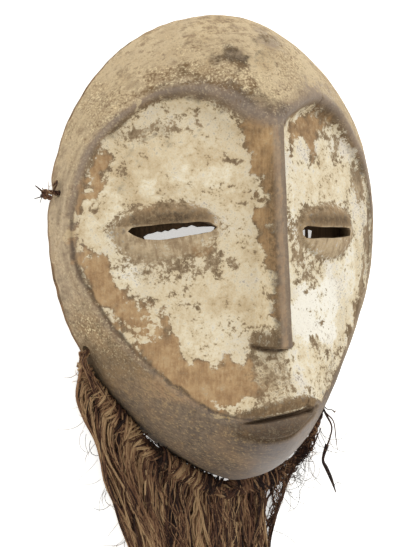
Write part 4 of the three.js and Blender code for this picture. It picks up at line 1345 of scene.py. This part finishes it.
def ring(draws, t, reach, lean, radius, tone):
    """One turn of raffia round the header."""
    at, way, out = header_place(t)
    a = np.linspace(0, 2 * math.pi, 12, endpoint=False) + draws.uniform(0, 0.5)
    bulge = reach * (1 + 0.05 * np.sin(3 * a + 40 * t))
    line = np.outer(bulge * np.cos(a), out) + np.outer(bulge * np.sin(a), [0, 0, 1])
    return at + line + np.outer(lean * np.cos(a + draws.uniform(-0.6, 0.6)), way), radius, True, tone


def fuzz(draws, start, heading, length, radius, tone, curl=0.3):
    """A fine hair that curls away in small steps."""
    points = [start]
    turn = draws.gauss(0, curl)
    for _ in range(max(3, int(length / FUZZ_STEP))):
        turn += draws.gauss(0, curl * 0.5)
        cosine, sine = math.cos(turn), math.sin(turn)
        x, y, z = heading
        turned = [x * cosine - y * sine, x * sine + y * cosine, z * 0.6 + draws.gauss(0, 0.12)]
        heading = unit(np.array(turned))
        ahead = points[-1] + heading * FUZZ_STEP
        ahead[2] = min(10, max(0.5, ahead[2]))
        points.append(ahead)
    return np.array(points), taper(len(points), radius, 0.3), False, tone


def matted(draws, t_start, length, angle, off, radius, tone):
    """A strand matted along the header, drifting round it."""
    drift = draws.gauss(0, 0.5)
    points = []
    for share in np.linspace(0, 1, 11):
        t = t_start + length * share
        at, _, out = header_place(t)
        turn = angle + drift * share + 0.25 * math.sin(9 * share + 20 * angle)
        reach = header_radius(t) + off
        points.append(at + out * math.cos(turn) * reach + np.array([0, 0, math.sin(turn) * reach]))
    return np.array(points), radius, False, tone


def cord_plies(left, left_out, right, right_out):
    """The cord from its inner knot on the left, round below the chin, to its inner knot on the right."""
    bore = [20, 13, 6, 0]
    bends = [-1.4, -1.6]
    run = [0.01, 0.06, 0.12, 0.2, 0.28, 0.36, 0.43, 0.5, 0.57, 0.63, 0.69, 0.75, 0.81, 0.86]
    points = [left - left_out * d for d in (LEFT_KNOT_DEPTH + 3, LEFT_KNOT_DEPTH, *bore, bends[0])]
    points += [header_place(t)[0] for t in run]
    ending = (bends[1], *bore[::-1], RIGHT_KNOT_DEPTH, RIGHT_KNOT_DEPTH + 3)
    points += [right - right_out * d for d in ending]
    path = smooth_path(points, 300)
    x, y, _ = path.T
    dense = smoothstep(57, 71, -y) * (1 - smoothstep(20, 34, x))
    bare = mix(1.4, 1.8, smoothstep(86, 96, -y)) * mix(1, 0.6, smoothstep(-62, -56, y) * (x < 0))
    bare *= mix(1, 0.7, smoothstep(-93, -86, y) * (x > 0))
    strands = twisted(path, mix(bare, HEADER_RADIUS - 1.2, dense), 3, 12, [0.3, 0.16, 0.22])
    strands.append(knot(left - left_out * LEFT_KNOT_DEPTH, 2.6, 1.1, 0.3, left_out))
    strands.append(knot(right - right_out * RIGHT_KNOT_DEPTH, 2.6, 1.1, 0.3, right_out))
    middle = np.linspace(0, DENSE_END + 0.02, 60)
    core = np.array([header_place(t)[0] for t in middle])
    strands.append((core, np.array([header_radius(t) - 0.45 for t in middle]), False, 0.05))
    return strands


def binding(draws):
    """Turns of raffia round the cord, close along the dense beard and loose where it is bare."""
    strands = []
    t = DENSE_START + 0.01
    while t < DENSE_END + 0.03:
        tangle = 1 - float(smoothstep(0.2, 0.4, t))
        reach = header_radius(t) + draws.uniform(-0.4, 0.1) - gap_beside(t)
        lean = draws.gauss(0, mix(0.9, 2.4, tangle))
        tone = draws.gauss(0.5, 0.16) - 0.38 * float(smoothstep(0.6, 0.68, t))
        strands.append(ring(draws, t, reach, lean, draws.uniform(0.16, 0.36), min(0.9, max(0, tone))))
        t += draws.uniform(0.0016, 0.003)
    while t < 0.85:
        reach = header_radius(t) * draws.uniform(0.6, mix(1.3, 0.7, float(smoothstep(0.78, 0.83, t))))
        lean = draws.gauss(0, 3.2 if t < 0.8 else 1)
        strands.append(ring(draws, t, reach, lean, draws.uniform(0.14, 0.42), draws.uniform(0, 0.25)))
        t += draws.uniform(0.003, 0.008)
    return strands


def matting(draws):
    """Fibres matted on the binding, tangled on the bare cord and lying between the cord and the rim."""
    strands = []
    for _ in range(230):
        t = draws.choice([draws.uniform(DENSE_START, 0.3), draws.uniform(0.1, DENSE_END)])
        angle = draws.uniform(0.2, 2.7) * (0.65 if gap_beside(t) else 1)
        tone = draws.gauss(0.46, 0.16)
        length = draws.uniform(0.02, 0.09)
        off = draws.uniform(0, 0.5)
        strands.append(matted(draws, t, length, angle, off, draws.uniform(0.1, 0.24), tone))
    for _ in range(80):
        t = draws.uniform(DENSE_END, 0.82)
        angle = draws.uniform(0, 6.2)
        off = draws.uniform(-0.6, 1.2)
        strands.append(matted(draws, t, 0.04, angle, off, draws.uniform(0.1, 0.26), 0.14))
    for t in np.arange(DENSE_START + 0.02, 0.8, 0.012):
        if gap_beside(t):
            continue
        for angle in (2.75, 3.05, 3.4, 3.75):
            strands.append(matted(draws, t, 0.02, angle + draws.uniform(-0.1, 0.1), 0.15, 0.3, 0.15))
        for off, level in ((0.55, 0.5), (1.25, 0.9), (1.9, 1.5)):
            places = [header_place(t + step)[::2] for step in (-0.002, 0.005, 0.014)]
            line = [at + out * (off - float(along(OFF_RIM_AT, OFF_RIM, t))) for at, out in places]
            line = np.array([[x, y, level] for x, y, _ in line])
            strands.append((line, 0.42, False, draws.uniform(0.05, 0.25)))
    return strands


def bore_tuft(draws, left, left_out):
    """A tuft out of the left bore, over the cord and along the header."""
    strands = []
    for _ in range(90):
        start = left - left_out * draws.uniform(0, 6)
        start = start + [0, draws.uniform(-1.2, 1.2), draws.uniform(-1, 1.4)]
        bend = left + left_out * draws.uniform(-0.2, 2)
        bend = bend + [0, draws.uniform(-4.5, -1.5), draws.uniform(-1, 4.6)]
        t = draws.uniform(0.01, 0.1)
        at, _, out = header_place(t)
        turn = draws.uniform(0.1, 2.7)
        reach = header_radius(t) + 0.3
        end = at + out * math.cos(turn) * reach + [0, 0, math.sin(turn) * reach]
        middle = mix(bend, end, 0.5) + out * draws.uniform(-0.5, 1.2) + [0, 0, 0.6]
        line = smooth_path([start, bend, middle, end], 16)
        strands.append((line, draws.uniform(0.12, 0.34), False, draws.uniform(0.4, 0.8)))
    return strands


def header_fuzz(draws):
    strands = []
    for _ in range(260):
        t = draws.uniform(DENSE_START + 0.01, 0.81)
        at, way, out = header_place(t)
        angle = draws.uniform(0.1, 2.6)
        start = at + (out * math.cos(angle) + np.array([0, 0, math.sin(angle)])) * header_radius(t)
        heading = unit(way * draws.gauss(0, 1) + out * draws.uniform(0, 1) + np.array([0, -0.3, 0.2]))
        tone = draws.uniform(0.25, 0.85) if t < DENSE_END - 0.06 else draws.uniform(0, 0.2)
        strands.append(fuzz(draws, start, heading, draws.uniform(4, 11), draws.uniform(0.07, 0.2), tone))
    return strands


def make_cord():
    """The cord through the jaw bores, bound with raffia along the dense beard and tangled where bare."""
    draws = random.Random(41)
    left, left_out = rim_place(LEFT_JAW_BORE_Y, -1)
    right, right_out = rim_place(RIGHT_JAW_BORE_Y, 1)
    strands = cord_plies(left, left_out, right, right_out)
    strands += binding(draws)
    strands += matting(draws)
    strands += bore_tuft(draws, left, left_out)
    strands += header_fuzz(draws)
    return strand_object("raffia_cord", strands, 1)


def make_wisps():
    """Loose hairs and stiff fibres off the header and the sides of the beard."""
    draws = random.Random(5)
    stem = [(53.4, -84), (56.2, -91), (60.2, -98.4), (59.2, -104.3), (57.2, -109)]
    blade = [(57.4, -107.8), (54.9, -115.4), (57, -120.1), (59.7, -125.7), (62.5, -133.1)]
    thin = [(54, -85), (56.5, -91), (61.3, -96.1), (62.7, -104.5), (63.6, -111.2)]
    stub = [(55.5, -87.5), (57.5, -89.5), (60.6, -90.2), (62, -91.4), (62.6, -90.6)]
    frayed = [(61.3, -130), (62.6, -128.4), (64, -128.2), (65.4, -128.8), (66.4, -127.6)]
    strands = []
    for places, widths, tone in (
        (stem, [0.75, 0.6, 0.5, 0.5, 0.6], 0.12),
        (blade, [1.3, 0.8, 1.1, 1.0, 0.3], 0.16),
        (thin, [0.5, 0.4, 0.35, 0.3, 0.15], 0.12),
        (stub, [0.3, 0.25, 0.25, 0.4, 0.2], 0.6),
        (frayed, [0.2, 0.15, 0.15, 0.12, 0.08], 0.9),
    ):
        path = smooth_path([(x, y, 6) for x, y in places], 22)
        radii = np.interp(np.linspace(0, 1, 22), np.linspace(0, 1, 5), widths)
        strands.append((path, radii, False, tone))
    for k in range(90):
        right = k % 3 != 0
        t = draws.uniform(0.66, 0.86) if right else draws.uniform(-0.02, 0.16)
        at, _, out = header_place(t)
        start = at + out * draws.uniform(0, 4) + np.array([0, 0, draws.uniform(-2, 3)])
        heading = unit(out * 0.7 + np.array([draws.gauss(0, 0.4), draws.uniform(-1.6, -0.3), 0]))
        length = draws.uniform(10, 36) if right else draws.uniform(6, 20)
        radius = draws.uniform(0.05, 0.13)
        strands.append(fuzz(draws, start, heading, length, radius, draws.uniform(0, 0.35), 0.16))
    for _ in range(60):
        t = draws.choice([draws.uniform(-0.03, 0.06), draws.uniform(0.6, 0.68)])
        side = course_line(t, t, np.array([draws.uniform(0.15, 0.75)]))[0]
        start = side + np.array([0, 0, draws.uniform(1, 6)])
        outward = -1 if t < 0.3 else 1
        heading = unit(np.array([outward * draws.uniform(0.2, 1), draws.uniform(-1.4, -0.4), 0]))
        length = draws.uniform(8, 24)
        radius = draws.uniform(0.05, 0.14)
        strands.append(fuzz(draws, start, heading, length, radius, draws.uniform(0, 0.5), 0.2))
    return strand_object("raffia_wisps", strands)


def make_tie():
    """The short knotted cord through the temple bore, lying in the rim's worn notch."""
    draws = random.Random(17)
    at, out = rim_place(TEMPLE_BORE_Y, -1)
    path = smooth_path([at - out * d for d in (27, 24, 20, 12, 4, -0.4, -2.4, -3.6)], 60)
    strands = twisted(path, np.full(60, 1.2), 2, 5, [0.12, 0.24])
    strands.append(knot(at + out * 3.6 + [0, -1.5, 0], 1.6, 0.85, 0.55, out))
    strands.append(knot(at + out * 1.8 + [0, -2.4, 0.4], 1.2, 0.6, 0.3, unit(np.array([0.4, 1.0, 0.2]))))
    strands.append(knot(at - out * 24, 2.0, 0.8, 0.2, out))
    loop = [[1.0, 2.2, 2.0], [1.6, 3.8, 2.4], [1.8, 5.2, 1.6], [0.4, 3, 0.4]]
    loop = smooth_path([at - out * 0.5] + [at + place for place in loop], 20)
    strands.append((loop, 0.5, False, 0.05))
    start = at + out * 3.8 + [0, -1.2, 0]
    ends = (
        ([-1.6, 1.6, 0.6], [-4.4, 3.6, 1.6], 0.42, 0.0), ([-1, -1.2, 0], [-4.4, -2.2, -0.6], 0.28, 0.35),
        ([-1, -1.2, 0.4], [-2, -4.2, 0.2], 0.2, 0.4), ([-0.4, 0.8, 1.4], [-1.6, 2.6, 3], 0.3, 0.2),
    )
    for leave, tip, radius, tone in ends:
        line = smooth_path([start, start + leave, start + tip], 10)
        strands.append((line, taper(10, radius, 0.7, 0.5), False, tone))
    for _ in range(6):
        heading = unit(np.array([draws.uniform(-1, 0.2), draws.gauss(0, 0.8), draws.uniform(0, 0.6)]))
        root = at + out * draws.uniform(0.5, 2.5)
        strands.append(fuzz(draws, root, heading, 2.4, 0.08, draws.uniform(0, 0.5)))
    return strand_object("temple_cord", strands, 1)


def raffia_finish(name, colors):
    f = Finish(name)
    fibre = f.swing(1, 3, 0.6, vector=f.stretched(0.35, 6, 0.35))
    # Long soft bands of painted shade and light across the strands, as of locks shading one another
    wave = f.swing(1, 3, 0.5, vector=f.stretched(8, 46, 8))
    dust = f.swing(2.4, 4, 0.7)
    value = f.layer("tone") + fibre * 0.1 + wave * 0.2 - f.layer("share") * 0.06
    color = f.ramp(
        value, (0.0, colors.dark), (0.38, colors.brown), (0.68, colors.middle), (1.0, colors.light)
    )
    color = f.blend(dust.step(0.75, 1.6) * 0.3, color, colors.light)
    return f.shade(
        Base_Color=color,
        Roughness=0.6 + dust * 0.05,
        Specular_IOR_Level=0.2,
        Normal=f.bump(fibre, 0.12),
    )


# Stage

def camera_place():
    """The camera that sees the mask as the photograph does: turned, nodded, leaning and off its axis."""
    turned, nodded, leaning = math.radians(24.7), math.radians(1.3), math.radians(0.5)
    turn = Matrix.Rotation(leaning, 3, "Z") @ Matrix.Rotation(nodded, 3, "X")
    turn = turn @ Matrix.Rotation(turned, 3, "Y")
    # From the mask's origin, in millimetres to the camera's right, up and back
    at = turn.transposed() @ Vector((-7.3, -18.8, 550))
    place = turn.transposed().to_4x4()
    place.translation = at * MM + MASK_ORIGIN
    return place


def set_stage(stage):
    clear_selection()
    bpy.context.scene.view_settings.view_transform = "Standard"
    bpy.ops.mesh.primitive_plane_add(size=6, location=(0, 0, -0.0004))
    floor = bpy.context.object
    floor.name = "pale_floor"
    f = Finish("pale floor")
    f.shade(
        Base_Color=stage.floor_color, Roughness=0.8,
        Emission_Color=stage.floor_color, Emission_Strength=stage.floor_glow,
    )
    floor.data.materials.append(f.material)

    world = bpy.context.scene.world or bpy.data.worlds.new("soft light")
    bpy.context.scene.world = world
    world.use_nodes = True
    sky = world.node_tree.nodes["Background"]
    sky.inputs["Color"].default_value = (1.0, 0.985, 0.96, 1)
    sky.inputs["Strength"].default_value = stage.room_light
    for place, size, watts in (
        ((0.55, 0.75, 0.9), 0.7, stage.key_watts), ((-0.7, 0.1, 0.7), 0.9, stage.fill_watts)
    ):
        bpy.ops.object.light_add(type="AREA", location=place)
        lamp = bpy.context.object
        lamp.data.size = size
        lamp.data.energy = watts
        aim = Vector((0, 0.07, 0.02)) - Vector(place)
        lamp.rotation_euler = aim.to_track_quat("-Z", "Y").to_euler()

    bpy.ops.object.camera_add()
    camera = bpy.context.object
    camera.matrix_world = camera_place()
    camera.data.sensor_fit = "VERTICAL"
    camera.data.sensor_height = 36
    camera.data.lens = 36 * FOCAL_PIXELS / PHOTO_HEIGHT
    camera.data.clip_start = 0.01
    bpy.context.scene.camera = camera


# Add-on

def color_property(name, description, value):
    return bpy.props.FloatVectorProperty(
        name=name, description=description, default=value, subtype="COLOR", min=0, max=1
    )


class CarvedMaskSettings(bpy.types.PropertyGroup):
    face_steps: bpy.props.IntProperty(
        name="Face steps", description="Squares across the carved front", default=300, min=60, max=300
    )
    unevenness: bpy.props.FloatProperty(
        name="Unevenness", description="Depth of the hand carving's waves, in millimetres",
        default=1.1, min=0, max=3,
    )
    chalk: color_property("Kaolin", "Whitening on most of the face", srgb(216, 199, 166))
    fresh_chalk: color_property("Fresh kaolin", "Whitening where it is thickest", srgb(248, 244, 231))
    pale_chalk: color_property("Pale kaolin", "Whitening on the brighter cheek", srgb(237, 227, 201))
    thin_chalk: color_property("Thin kaolin", "Whitening where it is rubbed", srgb(196, 174, 138))
    old_chalk: color_property("Old kaolin", "Whitening where it is nearly gone", srgb(160, 134, 100))
    film: color_property("Film", "Grey cream film on the sides", srgb(202, 182, 150))
    old_film: color_property("Old film", "Film where it is handled away", srgb(156, 134, 106))
    grit: color_property("Grit", "Dirt in the pores", srgb(112, 88, 60))
    glint: color_property("Glint", "Pale fibres of the worn chin", srgb(178, 150, 104))
    fleck: color_property("Fleck", "Flecks of old whitening on the outside", srgb(226, 208, 168))
    # Sheen and cool sheen are partly the grey of polished wood and partly a painted reflection
    sheen: color_property("Sheen", "Grey of polished wood", srgb(164, 149, 136))
    cool_sheen: color_property("Cool sheen", "Blue grey of the polished chin", srgb(158, 153, 152))
    stain: color_property("Stain", "Brown that has soaked into the whitening", srgb(150, 120, 84))
    grey_wood: color_property("Grey wood", "Handled wood on the sides", srgb(140, 119, 92))
    dark_wood: color_property("Dark wood", "Grain and hollows of the wood", srgb(96, 78, 58))
    tan_wood: color_property("Tan wood", "Worn bare wood on the cheek", srgb(188, 156, 114))
    deep_tan: color_property("Deep tan wood", "Grain of the bare wood", srgb(148, 114, 78))
    # Soot also colours the painted shade in the hollows, on the cuts' walls and on the chin's right flank
    soot: color_property("Soot", "Dark polish in hollows and on lips", srgb(56, 42, 31))
    inner_wood: color_property("Inner wood", "Wood of the hollow back", srgb(142, 112, 82))


class RaffiaBeardSettings(bpy.types.PropertyGroup):
    strands: bpy.props.IntProperty(
        name="Strands in a hank", description="Raffia strands in each bundle", default=140, min=10, max=200
    )
    lock_strands: bpy.props.IntProperty(
        name="Strands in a lock", description="Raffia strands in each thin lock", default=16, min=4, max=60
    )
    strand_width: bpy.props.FloatProperty(
        name="Strand width", description="Width of a raffia strand", default=0.0008, min=0.0003, max=0.002,
        unit="LENGTH",
    )
    waviness: bpy.props.FloatProperty(
        name="Waviness", description="How far a strand wanders sideways, in millimetres",
        default=0.8, min=0, max=5,
    )
    dark: color_property("Dark raffia", "Strands in the shade", srgb(38, 24, 21))
    brown: color_property("Brown raffia", "Most strands", srgb(92, 61, 46))
    middle: color_property("Tan raffia", "Strands on top", srgb(156, 118, 86))
    light: color_property("Pale raffia", "Bleached strands", srgb(200, 166, 124))


class MaskStageSettings(bpy.types.PropertyGroup):
    floor_color: color_property("Floor", "Pale floor", (0.96, 0.96, 0.94))
    floor_glow: bpy.props.FloatProperty(
        name="Floor glow", description="Light given off by the floor", default=0.6, min=0, max=3
    )
    room_light: bpy.props.FloatProperty(
        name="Room light", description="Strength of the light all round", default=0.75, min=0, max=3
    )
    key_watts: bpy.props.FloatProperty(
        name="Key light", description="Soft light from the upper right", default=5, min=0, max=100,
        unit="POWER",
    )
    fill_watts: bpy.props.FloatProperty(
        name="Fill light", description="Soft light from the left", default=1.5, min=0, max=100,
        unit="POWER",
    )


class CarveMask(bpy.types.Operator):
    """Carve the wooden mask, and lay on its kaolin, wear and dirt"""

    bl_idname = "object.carve_heart_mask"
    bl_label = "Carve the mask"

    def execute(self, context):
        settings = context.scene.carved_mask
        mask = carve_mask(settings)
        finish_piece(mask, "carved_mask", mask_finish(settings), ["mask"])
        return {"FINISHED"}


class TieCords(bpy.types.Operator):
    """Tie the beard's bound cord and the short temple cord"""

    bl_idname = "object.tie_mask_cords"
    bl_label = "Tie the cords"

    def execute(self, context):
        beard = context.scene.raffia_beard
        finish = raffia_finish("bound raffia", beard)
        finish_piece(make_cord(), "raffia_cord", finish, ["beard_cord"])
        finish_piece(make_tie(), "temple_cord", finish, ["temple_tie"])
        return {"FINISHED"}


class HangBeard(bpy.types.Operator):
    """Lay out the beard's hanks, locks and loose hairs of raffia"""

    bl_idname = "object.hang_raffia_beard"
    bl_label = "Hang the beard"

    def execute(self, context):
        beard = context.scene.raffia_beard
        finish = raffia_finish("raffia strands", beard)
        for number in range(1, DENSE_HANKS + 1):
            hank = make_hank(number - 1, beard)
            finish_piece(hank, hank.name, finish, [f"beard_hank_{number:02d}"])
        for number in range(1, len(LOCKS) + 1):
            lock = make_lock(number - 1, beard)
            finish_piece(lock, lock.name, finish, [f"beard_lock_{number}"])
        finish_piece(make_wisps(), "raffia_wisps", finish, [])
        return {"FINISHED"}


class SetMaskStage(bpy.types.Operator):
    """Set the pale floor, the soft lights and the camera"""

    bl_idname = "object.set_mask_stage"
    bl_label = "Set the stage"

    def execute(self, context):
        set_stage(context.scene.mask_stage)
        return {"FINISHED"}


class MaskPanel(bpy.types.Panel):
    bl_label = "Carved mask"
    bl_idname = "VIEW3D_PT_carved_mask"
    bl_space_type = "VIEW_3D"
    bl_region_type = "UI"
    bl_category = "Mask"

    def draw(self, context):
        for operator in OPERATORS:
            self.layout.operator(operator.bl_idname)
        for name, group in SETTINGS:
            box = self.layout.box()
            for key in group.__annotations__:
                box.prop(getattr(context.scene, name), key)


OPERATORS = [SetMaskStage, CarveMask, TieCords, HangBeard]
SETTINGS = [
    ("carved_mask", CarvedMaskSettings),
    ("raffia_beard", RaffiaBeardSettings),
    ("mask_stage", MaskStageSettings),
]
CLASSES = [group for _, group in SETTINGS] + OPERATORS + [MaskPanel]


def register():
    for item in CLASSES:
        bpy.utils.register_class(item)
    for name, group in SETTINGS:
        setattr(bpy.types.Scene, name, bpy.props.PointerProperty(type=group))


def unregister():
    for name, _ in SETTINGS:
        delattr(bpy.types.Scene, name)
    for item in reversed(CLASSES):
        bpy.utils.unregister_class(item)


def main():
    register()
    bpy.ops.object.set_mask_stage()
    bpy.ops.object.carve_heart_mask()
    bpy.ops.object.tie_mask_cords()
    bpy.ops.object.hang_raffia_beard()


if __name__ == "__main__":
    main()
